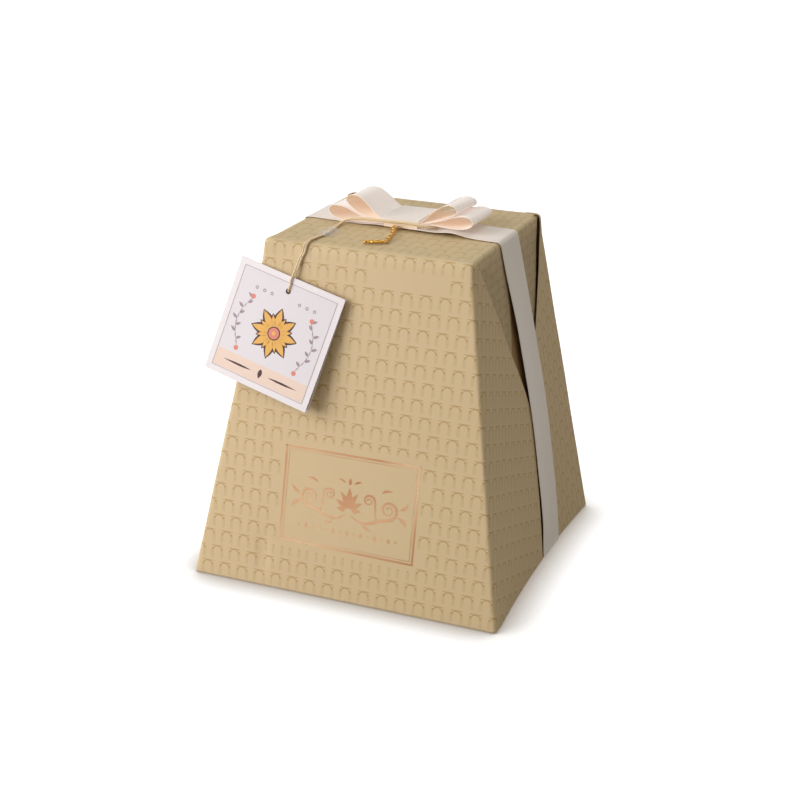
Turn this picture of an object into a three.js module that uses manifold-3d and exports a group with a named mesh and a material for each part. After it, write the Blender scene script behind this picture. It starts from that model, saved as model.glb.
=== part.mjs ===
// A gift-wrapped cake box: a truncated pyramid in folded wrapping paper, tied with a satin ribbon that
// runs over the top and under the base, with a double-loop bow, a thin cord, a small gold charm on a
// chain, a clear sticker and a folded hang tag.
//
// Millimetres, +Z up. The origin is at the centre of the base, on the surface that the box stands on.
// The front, with the hang tag, faces -Y. The ribbon runs from left to right, over the two sides.

import * as THREE from 'three';
import { mergeVertices } from 'three/addons/utils/BufferGeometryUtils.js';
import Module from 'manifold-3d';

const wasm = await Module();
wasm.setup();

// ---------------------------------------------------------------- driving dimensions

const BASE = 230; // side of the square base
const TOP = 149; // side of the square top, between the planes of the faces
const HEIGHT = 243.5;
const EDGE_RADIUS = 5; // the upright edges, where paper bends round
const SHOULDER_RADIUS = 8; // the top edges
const FOOT_ROUNDING = 1.5; // the base edges
const SIDE_SAG = 4.5; // how far the middle of a side's base edge draws in

const GAP = 0.35; // air between pieces that rest on each other

const RIBBON_WIDTH = 40;
const RIBBON_THICKNESS = 0.6;
const RIBBON_LEFT_CENTRE = 9.5; // where the ribbon's middle crosses the left shoulder, along Y
const RIBBON_RIGHT_CENTRE = 5; // and the right shoulder
const RIBBON_BASE_CENTRE = 27; // and where it runs under the base
const GROOVE_DEPTH = 1.5; // the ribbon's bed in the paper under the base
const GROOVE_MARGIN = 1;

const BOW_FRONT = -12.3; // the loops' front rims, along Y
const BOW_BACK = 27.9; // and their back rims
const BOW_BACK_DROP = 0.13; // share of its height that a loop loses towards the back
const WRAP_LEFT = -12.5; // the strip round the bow's middle
const WRAP_RIGHT = 12.5;
const WRAP_BULGE = 2.4; // how far its left edge bows out
const WRAP_FRONT = -14;
const WRAP_BACK = 29;
const WRAP_LOW = 0.75; // middle of its lower and upper layers above the top face
const WRAP_HIGH = 6.9;
const WRAP_CORNER = 1;

const STRAND_RADIUS = 0.6; // one strand of the cord
const TWIST_RADIUS = 0.95; // both strands wound together along the bow
const WIRE_RADIUS = 0.42; // the chain's wire

const STICKER_RADIUS = 11;
const STICKER_THICKNESS = 0.3;

const TAG_SIDE = 82.3;
const TAG_LEAF = 0.45;
const TAG_OPENING = 2.9; // degrees between its two leaves, which hinge at the top edge
const TAG_HOLE_RADIUS = 2;

// ---------------------------------------------------------------- derived sizes and frames

const LEAN = (BASE - TOP) / 2; // how far a face leans in from base to top
const SLOPE = Math.hypot(HEIGHT, LEAN); // length of a face up its middle
const FACE_ANGLE = Math.atan2(LEAN, HEIGHT); // from the vertical
const SHOULDER_TANGENT = SHOULDER_RADIUS * Math.tan((Math.PI / 2 - FACE_ANGLE) / 2);
const SHOULDER_X = TOP / 2 - SHOULDER_TANGENT; // where the flat top ends

const deg = THREE.MathUtils.degToRad;
const smoothstep = THREE.MathUtils.smoothstep;
const lerp = THREE.MathUtils.lerp;

/** Point of the front face: x across, t up the slope from the base edge, out from the paper. */
function onFront(x, t, out) {
  const y = -BASE / 2 + t * Math.sin(FACE_ANGLE) - out * Math.cos(FACE_ANGLE);
  const z = t * Math.cos(FACE_ANGLE) + out * Math.sin(FACE_ANGLE);
  return new THREE.Vector3(x, y, z);
}

/** Point round the front shoulder: angle from the vertical, out from the paper. */
function onShoulder(x, degrees, out) {
  const reach = SHOULDER_RADIUS + out;
  const y = -SHOULDER_X - reach * Math.sin(deg(degrees));
  return new THREE.Vector3(x, y, HEIGHT - SHOULDER_RADIUS + reach * Math.cos(deg(degrees)));
}

/** Point above the top face. */
function onTop(x, y, up) {
  return new THREE.Vector3(x, y, HEIGHT + up);
}

// ---------------------------------------------------------------- solids

function material(color, roughness, metalness = 0) {
  return new THREE.MeshStandardMaterial({ color, roughness, metalness, side: THREE.DoubleSide });
}

const PAPER = material(0xcbb98c, 0.6);
const SATIN = material(0xf3e6da, 0.35);
const GOLD_THREAD = material(0xe2c088, 0.45, 0.4);
const GOLD = material(0xcf9a34, 0.25, 1);
const FILM = material(0xe9e6ee, 0.15);
const CARD = material(0xe7dfe2, 0.55);

/** Turns a closed mesh's faces outward, by the sign of its volume. */
function facingOut(geometry) {
  const p = geometry.getAttribute('position');
  const index = geometry.getIndex();
  const [a, b, c] = [new THREE.Vector3(), new THREE.Vector3(), new THREE.Vector3()];
  let volume = 0;
  for (let i = 0; i < index.count; i += 3) {
    a.fromBufferAttribute(p, index.getX(i));
    b.fromBufferAttribute(p, index.getX(i + 1));
    c.fromBufferAttribute(p, index.getX(i + 2));
    volume += a.dot(b.cross(c));
  }
  if (volume < 0) {
    index.array.reverse();
  }
  geometry.computeVertexNormals();
  return geometry;
}

function fromTriangles(points, index) {
  const geometry = new THREE.BufferGeometry();
  const positions = points.flatMap((p) => p.toArray());
  geometry.setAttribute('position', new THREE.Float32BufferAttribute(positions, 3));
  geometry.setIndex(index);
  return facingOut(geometry);
}

/** Closed sheet between two grids of points, outer[row][column] and inner[row][column]. */
function sheet(outer, inner, isLoop) {
  const rows = outer.length;
  const last = outer[0].length - 1;
  const index = [];
  const at = (side, i, j) => side * rows * (last + 1) + (i % rows) * (last + 1) + j;
  const quad = (a, b, c, d) => index.push(a, b, c, a, c, d);
  const spans = isLoop ? rows : rows - 1;
  for (let i = 0; i < spans; i += 1) {
    for (let j = 0; j < last; j += 1) {
      quad(at(0, i, j), at(0, i + 1, j), at(0, i + 1, j + 1), at(0, i, j + 1));
      quad(at(1, i, j), at(1, i, j + 1), at(1, i + 1, j + 1), at(1, i + 1, j));
    }
    quad(at(0, i, 0), at(1, i, 0), at(1, i + 1, 0), at(0, i + 1, 0));
    quad(at(0, i, last), at(0, i + 1, last), at(1, i + 1, last), at(1, i, last));
  }
  if (!isLoop) {
    for (let j = 0; j < last; j += 1) {
      quad(at(0, 0, j), at(0, 0, j + 1), at(1, 0, j + 1), at(1, 0, j));
      quad(at(0, rows - 1, j + 1), at(0, rows - 1, j), at(1, rows - 1, j), at(1, rows - 1, j + 1));
    }
  }
  return fromTriangles([...outer.flat(), ...inner.flat()], index);
}

/** Closed solid through rings of equally many points, with a flat cap at each end. */
function loft(rings) {
  const count = rings[0].length;
  const points = rings.flat();
  const index = [];
  for (let i = 0; i + 1 < rings.length; i += 1) {
    for (let j = 0; j < count; j += 1) {
      const a = i * count + j;
      const b = i * count + ((j + 1) % count);
      index.push(a, b, b + count, a, b + count, a + count);
    }
  }
  for (const [ring, flip] of [[0, true], [rings.length - 1, false]]) {
    const middle = new THREE.Vector3();
    rings[ring].forEach((p) => middle.add(p));
    points.push(middle.divideScalar(count));
    for (let j = 0; j < count; j += 1) {
      const a = ring * count + j;
      const b = ring * count + ((j + 1) % count);
      index.push(points.length - 1, flip ? b : a, flip ? a : b);
    }
  }
  return fromTriangles(points, index);
}

function toManifold(geometry, matrix = new THREE.Matrix4()) {
  let bare = geometry.clone();
  bare.deleteAttribute('normal');
  bare.deleteAttribute('uv');
  bare = mergeVertices(bare, 1e-4);
  bare.applyMatrix4(matrix);
  return new wasm.Manifold(new wasm.Mesh({
    numProp: 3,
    vertProperties: new Float32Array(bare.getAttribute('position').array),
    triVerts: new Uint32Array(bare.getIndex().array),
  }));
}

function fromManifold(solid) {
  const mesh = solid.getMesh();
  const geometry = new THREE.BufferGeometry();
  geometry.setAttribute('position', new THREE.BufferAttribute(new Float32Array(mesh.vertProperties), 3));
  geometry.setIndex([...mesh.triVerts]);
  geometry.computeVertexNormals();
  return geometry;
}

function extruded(points, depth) {
  const outline = new THREE.Shape(points.map(([x, y]) => new THREE.Vector2(x, y)));
  return new THREE.ExtrudeGeometry(outline, { depth, bevelEnabled: false });
}

/** Round tube along points, with both ends closed. */
function tube(points, radius, steps, sides, isLoop = false) {
  const corners = Array.from({ length: sides }, (_, k) => (2 * Math.PI * k) / sides);
  const section = new THREE.Shape(
    corners.map((angle) => new THREE.Vector2(radius * Math.cos(angle), radius * Math.sin(angle))),
  );
  return new THREE.ExtrudeGeometry(section, {
    steps,
    extrudePath: new THREE.CatmullRomCurve3(points, isLoop, 'centripetal'),
  });
}

function mesh(name, geometry, finish) {
  const piece = new THREE.Mesh(geometry, finish);
  piece.name = name;
  return piece;
}

// ---------------------------------------------------------------- wrapped box

/** Half the box's width between the planes of its faces at height z. */
function halfWidth(z) {
  return BASE / 2 - (LEAN * z) / HEIGHT;
}

/** How far a side draws in from its plane, most at the middle of the base edge. */
function sideSag(y, z) {
  const across = 1 - (y / halfWidth(z)) ** 2;
  return SIDE_SAG * Math.max(0, across) * Math.max(0, 1 - z / HEIGHT) ** 1.2;
}

/** Outline of the box at height z, drawn in by inset: four round edges, straight front, sagging sides. */
function boxRing(z, inset) {
  const ARC_STEPS = 4;
  const SIDE_STEPS = 10;
  const half = halfWidth(Math.min(z, HEIGHT)) - inset;
  const flat = half - EDGE_RADIUS;
  const ring = [];
  for (let corner = 0; corner < 4; corner += 1) {
    const turn = (corner * Math.PI) / 2;
    const signX = corner === 0 || corner === 3 ? 1 : -1;
    const signY = corner < 2 ? 1 : -1;
    for (let k = 0; k <= ARC_STEPS; k += 1) {
      const angle = turn + (k / ARC_STEPS) * (Math.PI / 2);
      const x = signX * flat + EDGE_RADIUS * Math.cos(angle);
      const y = signY * flat + EDGE_RADIUS * Math.sin(angle);
      ring.push(new THREE.Vector3(x, y, z));
    }
    if (corner === 1 || corner === 3) {
      for (let k = 1; k < SIDE_STEPS; k += 1) {
        const y = lerp(signY * flat, -signY * flat, k / SIDE_STEPS);
        ring.push(new THREE.Vector3(signX * (half - sideSag(y, z)), y, z));
      }
    }
  }
  return ring;
}

/** Side plane's frame: local x runs to the back, local y up the slope, local z out of the paper. */
function sideFrame(side) {
  const back = new THREE.Vector3(0, side, 0);
  const up = new THREE.Vector3(-side * Math.sin(FACE_ANGLE), 0, Math.cos(FACE_ANGLE));
  const out = new THREE.Vector3(side * Math.cos(FACE_ANGLE), 0, Math.sin(FACE_ANGLE));
  return new THREE.Matrix4().makeBasis(back, up, out).setPosition(side * (BASE / 2), 0, 0);
}

/** Cutter for a side: points (y, t), floor so deep, tipped by degrees about the line t = hinge. */
function sideCutter(side, points, depth, tip = 0, hinge = SLOPE) {
  const outline = points.map(([y, t]) => [side * y, t - hinge]);
  const local = new THREE.Matrix4().makeTranslation(0, hinge, 0)
    .multiply(new THREE.Matrix4().makeRotationX(deg(tip)))
    .multiply(new THREE.Matrix4().makeTranslation(0, 0, -depth));
  return toManifold(extruded(outline, depth + 30), sideFrame(side).multiply(local));
}

const APEX = [7, 117]; // where the front and back flaps of a side meet, as (y, t)
const FLAP_EDGE_TOP = 73;

function wrappedBox() {
  const heights = [FOOT_ROUNDING, 20, 40, 60, 85, 110, 140, 170, 200, 220];
  const rings = [boxRing(0, FOOT_ROUNDING), ...heights.map((z) => boxRing(z, 0))];
  const shoulderLow = HEIGHT - SHOULDER_TANGENT * Math.cos(FACE_ANGLE);
  const SHOULDER_STEPS = 5;
  for (let k = 0; k <= SHOULDER_STEPS; k += 1) {
    const angle = lerp(FACE_ANGLE, Math.PI / 2, k / SHOULDER_STEPS);
    const z = HEIGHT - SHOULDER_RADIUS + SHOULDER_RADIUS * Math.sin(angle);
    const half = SHOULDER_X + SHOULDER_RADIUS * Math.cos(angle);
    rings.push(boxRing(k === 0 ? shoulderLow : z, k === 0 ? 0 : halfWidth(z) - half));
  }
  let box = toManifold(loft(rings));
  const grooveWidth = RIBBON_WIDTH + 2 * GROOVE_MARGIN;
  const groove = new THREE.BoxGeometry(BASE + 20, grooveWidth, 2 * GROOVE_DEPTH);
  box = box.subtract(toManifold(groove, new THREE.Matrix4().makeTranslation(0, RIBBON_BASE_CENTRE, 0)));
  const beyond = SLOPE + 12;
  const topFlap = [
    [-FLAP_EDGE_TOP - 7, beyond], [-FLAP_EDGE_TOP, SLOPE], [-40.6, 203], [-20.3, 166], APEX,
    [36.8, 172], [FLAP_EDGE_TOP, 234.6], [FLAP_EDGE_TOP + 10, beyond],
  ];
  const slit = [[24, 149], [46.5, 190], [61.5, 218], [72, 236], [72, beyond], [80, beyond], [76.5, 236]];
  const hollow = [[-13, 230], [-12.5, 197], [-22, 168], [-9.2, 146], APEX, [24, 150], [24, 230]];
  const channel = [APEX, [8.3, 89], [2.7, 40], [-3, 6], [-3.5, -6], [34, -6], [31, 50], [14, 128]];
  for (const side of [1, -1]) {
    box = box.subtract(sideCutter(side, topFlap, 0.2, 1.2));
    box = box.subtract(sideCutter(side, slit, 3.5));
    box = box.subtract(sideCutter(side, hollow, 5));
    box = box.subtract(sideCutter(side, channel, 6));
  }
  return mesh('wrapped_box', fromManifold(box), PAPER);
}

// ---------------------------------------------------------------- ribbon round the box

/** Height of the ribbon's middle above the top face: up over the bow's underside, proud beside it. */
function ribbonLift(x, across) {
  const underBow = 1.1 * (1 - smoothstep(Math.abs(x), 16, 34));
  const besideBow = lerp(2.3, 0.8, across) * Math.exp(-(((x - 38) / 11) ** 2));
  return GAP + RIBBON_THICKNESS / 2 + underBow + besideBow;
}

/** The ribbon's middle along Y where it runs down a side, at slope length t from the base. */
function ribbonDrift(shoulderCentre, t) {
  return lerp(RIBBON_BASE_CENTRE, shoulderCentre, (Math.max(0, t) / SLOPE) ** 2.1);
}

/** Stations down one side, from shoulder to foot: each gives the point at a given y, and its normal. */
function ribbonSideStations(side, shoulderCentre) {
  const stations = [];
  const clearance = GAP + RIBBON_THICKNESS / 2;
  const out = new THREE.Vector3(side * Math.cos(FACE_ANGLE), 0, Math.sin(FACE_ANGLE));
  const SHOULDER_STEPS = 6;
  const SIDE_STEPS = 16;
  const FOOT_STEPS = 4;
  for (let k = 0; k < SHOULDER_STEPS; k += 1) {
    const angle = lerp(Math.PI / 2, FACE_ANGLE, k / SHOULDER_STEPS);
    const normal = new THREE.Vector3(side * Math.cos(angle), 0, Math.sin(angle));
    const reach = SHOULDER_RADIUS + clearance;
    const x = side * (SHOULDER_X + reach * Math.cos(angle));
    const z = HEIGHT - SHOULDER_RADIUS + reach * Math.sin(angle);
    stations.push({ centre: shoulderCentre, normal, at: (y) => new THREE.Vector3(x, y, z) });
  }
  const FOOT_BEND = 1.4;
  for (let k = 0; k <= SIDE_STEPS; k += 1) {
    const t = lerp(SLOPE - SHOULDER_TANGENT, FOOT_BEND + 0.6, k / SIDE_STEPS);
    const z = t * Math.cos(FACE_ANGLE);
    const onPaper = (y) => new THREE.Vector3(side * (halfWidth(z) - sideSag(y, z)), y, z);
    stations.push({
      centre: ribbonDrift(shoulderCentre, t),
      normal: out,
      at: (y) => onPaper(y).addScaledVector(out, clearance),
    });
  }
  const footCentre = GAP / 2 + RIBBON_THICKNESS / 2 + FOOT_BEND;
  for (let k = 1; k <= FOOT_STEPS; k += 1) {
    const angle = lerp(FACE_ANGLE, -Math.PI / 2, k / FOOT_STEPS);
    const normal = new THREE.Vector3(side * Math.cos(angle), 0, Math.sin(angle));
    stations.push({
      centre: RIBBON_BASE_CENTRE,
      normal,
      at: (y) => {
        const edge = halfWidth(0) - sideSag(y, 0) + clearance - FOOT_BEND;
        return new THREE.Vector3(side * edge, y, footCentre).addScaledVector(normal, FOOT_BEND);
      },
    });
  }
  return stations;
}

function ribbonBand() {
  const TOP_STEPS = 26;
  const COLUMNS = 4;
  const right = ribbonSideStations(1, RIBBON_RIGHT_CENTRE);
  const left = ribbonSideStations(-1, RIBBON_LEFT_CENTRE).reverse();
  const top = [];
  for (let k = 1; k < TOP_STEPS; k += 1) {
    const x = lerp(-SHOULDER_X, SHOULDER_X, k / TOP_STEPS);
    const centre = lerp(RIBBON_LEFT_CENTRE, RIBBON_RIGHT_CENTRE, k / TOP_STEPS);
    top.push({
      centre,
      normal: new THREE.Vector3(0, 0, 1),
      at: (y) => onTop(x, y, ribbonLift(x, (y - centre) / RIBBON_WIDTH + 0.5)),
    });
  }
  const outer = [];
  const inner = [];
  for (const { centre, normal, at } of [...top, ...right, ...left]) {
    const middle = [];
    for (let j = 0; j <= COLUMNS; j += 1) {
      middle.push(at(centre + RIBBON_WIDTH * (j / COLUMNS - 0.5)));
    }
    outer.push(middle.map((p) => p.clone().addScaledVector(normal, RIBBON_THICKNESS / 2)));
    inner.push(middle.map((p) => p.clone().addScaledVector(normal, -RIBBON_THICKNESS / 2)));
  }
  return mesh('ribbon_band', sheet(outer, inner, true), SATIN);
}

// ---------------------------------------------------------------- bow

// Each tier of the bow is one flattened ring of ribbon, pinched in the middle. The points are its front
// rim, as (x, height above the top face), from the pinch round the right loop and then the left loop.
const LOWER_TIER = [
  [0, 2.75], [13, 2.85], [18, 4.5], [23, 5.6], [29, 5.2], [38, 4.7], [46, 5.3], [50.9, 7.2], [52.3, 9.9],
  [50.6, 12.5], [45.5, 13.6], [38, 12.1], [30.5, 9.3], [21, 6.5], [13, 4], [0, 3.7], [-13, 3.75],
  [-21, 4.4], [-28.7, 5.6], [-36, 8.2], [-43.5, 11], [-49, 11.8], [-53.6, 10.9], [-55.3, 8.3],
  [-53.6, 5.4], [-49, 3], [-43.4, 1.9], [-30, 2.05], [-13, 2.75],
];
const UPPER_TIER = [
  [0, 4.65], [13, 4.95], [18, 6.5], [21.5, 7.6], [29, 9.9], [36.2, 12.9], [39.6, 15], [40.4, 17.3],
  [38.6, 19.6], [34.1, 20.4], [28.5, 18.2], [21, 12.6], [16.8, 8.4], [13.6, 6], [10, 5.6], [0, 5.6],
  [-11, 5.6], [-15.2, 6], [-18.8, 8.4], [-23.4, 12.5], [-27, 15.7], [-31.3, 19], [-36.2, 20.3],
  [-40.3, 19.2], [-41.8, 16.8], [-40, 13.9], [-36, 10.8], [-28.7, 7.3], [-20, 5.6], [-13, 4.75],
];

/** Where a point of a tier's front rim comes to at its back rim: lower, and a little further out. */
function backRim(p) {
  const reach = smoothstep(Math.abs(p.x), 14, 40);
  const drop = BOW_BACK_DROP * reach * Math.max(0, p.y - 2);
  return new THREE.Vector2(p.x + (p.x < 0 ? -1.5 : 0.8) * reach, p.y - drop);
}

function bowTier(name, rim, steps) {
  const COLUMNS = 3;
  const points = rim.map(([x, h]) => new THREE.Vector3(x, h, 0));
  const curve = new THREE.CatmullRomCurve3(points, true, 'centripetal');
  const front = [];
  for (let k = 0; k < steps; k += 1) {
    const p = curve.getPointAt(k / steps);
    front.push(new THREE.Vector2(p.x, p.y));
  }
  const back = front.map(backRim);
  const outer = [];
  const inner = [];
  const normals = (line, k) => {
    const along = line[(k + 1) % steps].clone().sub(line[(k + steps - 1) % steps]).normalize();
    return new THREE.Vector2(along.y, -along.x);
  };
  for (let k = 0; k < steps; k += 1) {
    const rows = [[], []];
    for (let j = 0; j <= COLUMNS; j += 1) {
      const across = j / COLUMNS;
      const middle = front[k].clone().lerp(back[k], across);
      const normal = normals(front, k).lerp(normals(back, k), across).normalize();
      [0.5, -0.5].forEach((half, side) => {
        const p = middle.clone().addScaledVector(normal, half * RIBBON_THICKNESS);
        rows[side].push(onTop(p.x, lerp(BOW_FRONT, BOW_BACK, across), p.y));
      });
    }
    outer.push(rows[0]);
    inner.push(rows[1]);
  }
  return mesh(name, sheet(outer, inner, true), SATIN);
}

/** The strip round the bow's middle and the ribbon under it, closed on itself. */
function bowWrap() {
  const COLUMNS = 3;
  const half = new THREE.Vector2((WRAP_BACK - WRAP_FRONT) / 2, (WRAP_HIGH - WRAP_LOW) / 2);
  const centre = new THREE.Vector2((WRAP_BACK + WRAP_FRONT) / 2, (WRAP_HIGH + WRAP_LOW) / 2);
  const flat = half.clone().subScalar(WRAP_CORNER);
  const section = [];
  const CORNER_STEPS = 3;
  const LAYER_STEPS = 6;
  for (let corner = 0; corner < 4; corner += 1) {
    const signY = corner === 0 || corner === 3 ? 1 : -1;
    const signZ = corner < 2 ? 1 : -1;
    for (let k = 0; k <= CORNER_STEPS; k += 1) {
      const angle = (corner + k / CORNER_STEPS) * (Math.PI / 2);
      const normal = new THREE.Vector2(Math.cos(angle), Math.sin(angle));
      const middle = new THREE.Vector2(signY * flat.x, signZ * flat.y).addScaledVector(normal, WRAP_CORNER);
      section.push({ middle: middle.add(centre), normal });
    }
    if (corner === 0 || corner === 2) {
      for (let k = 1; k < LAYER_STEPS; k += 1) {
        const y = centre.x + lerp(signY * flat.x, -signY * flat.x, k / LAYER_STEPS);
        const normal = new THREE.Vector2(0, signZ);
        section.push({ middle: new THREE.Vector2(y, centre.y + signZ * half.y), normal });
      }
    }
  }
  const layer = (offset) => section.map(({ middle, normal }) => {
    const p = middle.clone().addScaledVector(normal, offset);
    const bulge = WRAP_BULGE * Math.max(0, 1 - ((p.x - centre.x) / half.x) ** 2);
    const row = [];
    for (let j = 0; j <= COLUMNS; j += 1) {
      row.push(onTop(lerp(WRAP_LEFT - bulge, WRAP_RIGHT, j / COLUMNS), p.x, p.y));
    }
    return row;
  });
  return mesh('bow_wrap', sheet(layer(RIBBON_THICKNESS / 2), layer(-RIBBON_THICKNESS / 2), true), SATIN);
}

// ---------------------------------------------------------------- hang tag

// The tag's front leaf on the front face: its centre, how far it stands out there, and its turn.
const TAG_CENTRE = { x: -60.8, t: 183.2, out: 7.3 };
const TAG_TURN = -14.4; // degrees, in its own plane
const TAG_LEAN = -5.5; // its lower edge stands further out
const TAG_YAW = -1.9; // and so does its right edge
const TAG_HOLE = { x: -0.2, down: 10.1 }; // from the middle of the top edge

/** The tag's frame: local x along its top edge, local y up the front leaf, local z out of it. */
function tagFrame() {
  const face = new THREE.Matrix4().makeBasis(
    new THREE.Vector3(1, 0, 0),
    new THREE.Vector3(0, Math.sin(FACE_ANGLE), Math.cos(FACE_ANGLE)),
    new THREE.Vector3(0, -Math.cos(FACE_ANGLE), Math.sin(FACE_ANGLE)),
  );
  const turn = new THREE.Euler(deg(TAG_LEAN), deg(TAG_YAW), deg(TAG_TURN), 'ZXY');
  const place = onFront(TAG_CENTRE.x, TAG_CENTRE.t, TAG_CENTRE.out);
  return face.multiply(new THREE.Matrix4().makeRotationFromEuler(turn)).setPosition(place);
}

/** Point of the tag: x from its middle line, down from its top edge, out from its front leaf. */
function onTag(x, down, out) {
  return new THREE.Vector3(x, TAG_SIDE / 2 - down, out).applyMatrix4(tagFrame());
}

function hangTag() {
  const FOLD = 1; // the leaves part this far below the top edge
  const spread = Math.tan(deg(TAG_OPENING));
  const backAt = (down) => TAG_LEAF + (down - FOLD) * spread;
  const profile = [
    [0, 0], [TAG_SIDE, 0], [TAG_SIDE, TAG_LEAF], [FOLD, TAG_LEAF],
    [TAG_SIDE, backAt(TAG_SIDE)], [TAG_SIDE, backAt(TAG_SIDE) + TAG_LEAF], [FOLD, 2 * TAG_LEAF],
    [0, 1.4 * TAG_LEAF],
  ];
  const across = new THREE.Matrix4().makeBasis(
    new THREE.Vector3(0, -1, 0),
    new THREE.Vector3(0, 0, -1),
    new THREE.Vector3(1, 0, 0),
  ).setPosition(-TAG_SIDE / 2, TAG_SIDE / 2, 0);
  const leaves = toManifold(extruded(profile, TAG_SIDE), across);
  const punch = new THREE.CylinderGeometry(TAG_HOLE_RADIUS, TAG_HOLE_RADIUS, 20, 24);
  const place = new THREE.Matrix4().makeTranslation(TAG_HOLE.x, TAG_SIDE / 2 - TAG_HOLE.down, 0)
    .multiply(new THREE.Matrix4().makeRotationX(Math.PI / 2));
  const tag = mesh('hang_tag', fromManifold(leaves.subtract(toManifold(punch, place))), CARD);
  tagFrame().decompose(tag.position, tag.quaternion, tag.scale);
  return tag;
}

// ---------------------------------------------------------------- cord

const STRAND_APART = 0.78; // half the spacing of the two strands
const CORD_JOIN = onTop(-40.6, -14.9, 2.9); // where the wound cord parts into two strands

// Along the bow's front, from its tucked end under the right loops to where it parts.
const WOUND_ROUTE = [
  onTop(25.5, -6.5, 3.3), onTop(23.2, -10.8, 3.3), onTop(20, -14.6, 4), onTop(15.3, -16, 5.2),
  onTop(7.6, -16.2, 6), onTop(0, -16.5, 6.05), onTop(-7, -16.9, 5.9), onTop(-15.2, -16, 5.7),
  onTop(-26.7, -15.2, 5.2), onTop(-35, -15, 4.4), CORD_JOIN,
];

/** A strand's way over the top face, the shoulder and the front face, down to just above the tag. */
function strandStart(side) {
  const shift = side * STRAND_APART;
  return [
    CORD_JOIN,
    onTop(-42.6 + shift * 0.6, -18.2, 1.7),
    onTop(-43.2 + shift, -23, 1),
    onTop(-42.2 + shift, -34, 1),
    onTop(-41.4 + shift, -44, 1),
    onTop(-41.8 + shift, -54, 1),
    onTop(-43.2 + shift, -62, 1),
    onShoulder(-43.9 + shift, 20, 1.1),
    onShoulder(-44.6 + shift, 50, 1.1),
    onShoulder(-45.4 + shift, 80, 1.1),
    onFront(-47 + shift, 237, 1.3),
    onFront(-48.5 + shift, 231.5, 2.1),
  ];
}

function giftCord() {
  const hole = (out) => onTag(TAG_HOLE.x, TAG_HOLE.down, out);
  const frontStrand = [
    ...strandStart(-1),
    onTag(-0.5, -2, 0.8), onTag(-0.6, 1.7, 1.1), onTag(-0.1, 5.9, 1), onTag(-0.1, 9, 0.7),
    hole(-0.4), hole(-2.2),
  ];
  const backStrand = [
    ...strandStart(1),
    onTag(0.7, -2.5, -1.3), onTag(0.7, 0.5, -2.1), onTag(0.5, 5, -2.5), onTag(0, 9, -2.6), hole(-2.2),
  ];
  let cord = toManifold(tube(WOUND_ROUTE, TWIST_RADIUS, 30, 8));
  cord = cord.add(toManifold(tube(frontStrand, STRAND_RADIUS, 60, 8)));
  cord = cord.add(toManifold(tube(backStrand, STRAND_RADIUS, 60, 8)));
  return mesh('gift_cord', fromManifold(cord), GOLD_THREAD);
}

// ---------------------------------------------------------------- clear sticker

/** Clear round sticker, lying on the top face and tented over the two strands. */
function clearSticker() {
  const CENTRE = new THREE.Vector2(-42.2, -46.5);
  const RINGS = 7;
  const SPOKES = 28;
  const tent = (x) => lerp(2, 0.25, smoothstep(Math.abs(x - CENTRE.x), 1.7, 6));
  const layer = (up) => {
    const rings = [];
    for (let i = 1; i <= RINGS; i += 1) {
      const ring = [];
      for (let j = 0; j < SPOKES; j += 1) {
        const angle = (2 * Math.PI * j) / SPOKES;
        const x = CENTRE.x + STICKER_RADIUS * (i / RINGS) * Math.cos(angle);
        const y = CENTRE.y + STICKER_RADIUS * (i / RINGS) * Math.sin(angle);
        ring.push(onTop(x, y, tent(x) + up));
      }
      rings.push(ring);
    }
    return rings;
  };
  return mesh('clear_sticker', loft([...layer(0), ...layer(STICKER_THICKNESS).reverse()]), FILM);
}

// ---------------------------------------------------------------- chain and charm

/** Closed wire loop with straight sides, in its own XY plane, long along X. */
function wireLink(length, width) {
  const r = width / 2 - WIRE_RADIUS;
  const run = length / 2 - width / 2;
  const ARC_STEPS = 8;
  const SIDES = 6;
  const rows = [];
  for (const end of [1, -1]) {
    for (let k = 0; k <= ARC_STEPS; k += 1) {
      const angle = (end > 0 ? -Math.PI / 2 : Math.PI / 2) + (Math.PI * k) / ARC_STEPS;
      const outward = new THREE.Vector3(Math.cos(angle), Math.sin(angle), 0);
      const centre = new THREE.Vector3(end * run, 0, 0).addScaledVector(outward, r);
      const row = [];
      for (let s = 0; s < SIDES; s += 1) {
        const around = (2 * Math.PI * s) / SIDES;
        const p = centre.clone().addScaledVector(outward, WIRE_RADIUS * Math.cos(around));
        p.z = WIRE_RADIUS * Math.sin(around);
        row.push(p);
      }
      rows.push(row);
    }
  }
  const index = [];
  const at = (i, s) => (i % rows.length) * SIDES + (s % SIDES);
  for (let i = 0; i < rows.length; i += 1) {
    for (let s = 0; s < SIDES; s += 1) {
      index.push(at(i, s), at(i + 1, s), at(i + 1, s + 1), at(i, s), at(i + 1, s + 1), at(i, s + 1));
    }
  }
  return fromTriangles(rows.flat(), index);
}

/** Places a piece with its X axis along a direction, rolled about it from the flat. */
function placeAlong(piece, position, direction, roll) {
  const x = direction.clone().normalize();
  const y = new THREE.Vector3(0, 0, 1).cross(x).normalize();
  const z = x.clone().cross(y);
  piece.quaternion.setFromRotationMatrix(new THREE.Matrix4().makeBasis(x, y, z));
  piece.rotateX(roll);
  piece.position.copy(position);
  return piece;
}

const RING_WIDTH = 5.2; // the round link that hangs on the charm's loop of cord
const LINK_LENGTH = 6.5;
const LINK_WIDTH = 3.3;
const LINK_ROLLS = [88, -16, 62, -32, 52, -38, 42, -56]; // degrees from lying flat, one for each link
const SLACK = 0.5; // air between linked wires
const EYE_WIDTH = 3.4; // the charm's eye
const EYE_AT = 6.1; // from the middle of its body

// The ring leans on the strip round the bow. Its centre, and the way down to the top face.
const RING_CENTRE = onTop(-3, -17.1, 2.3);
const CHAIN_START = new THREE.Vector3(-0.15, -0.92, -0.3).normalize();

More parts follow.
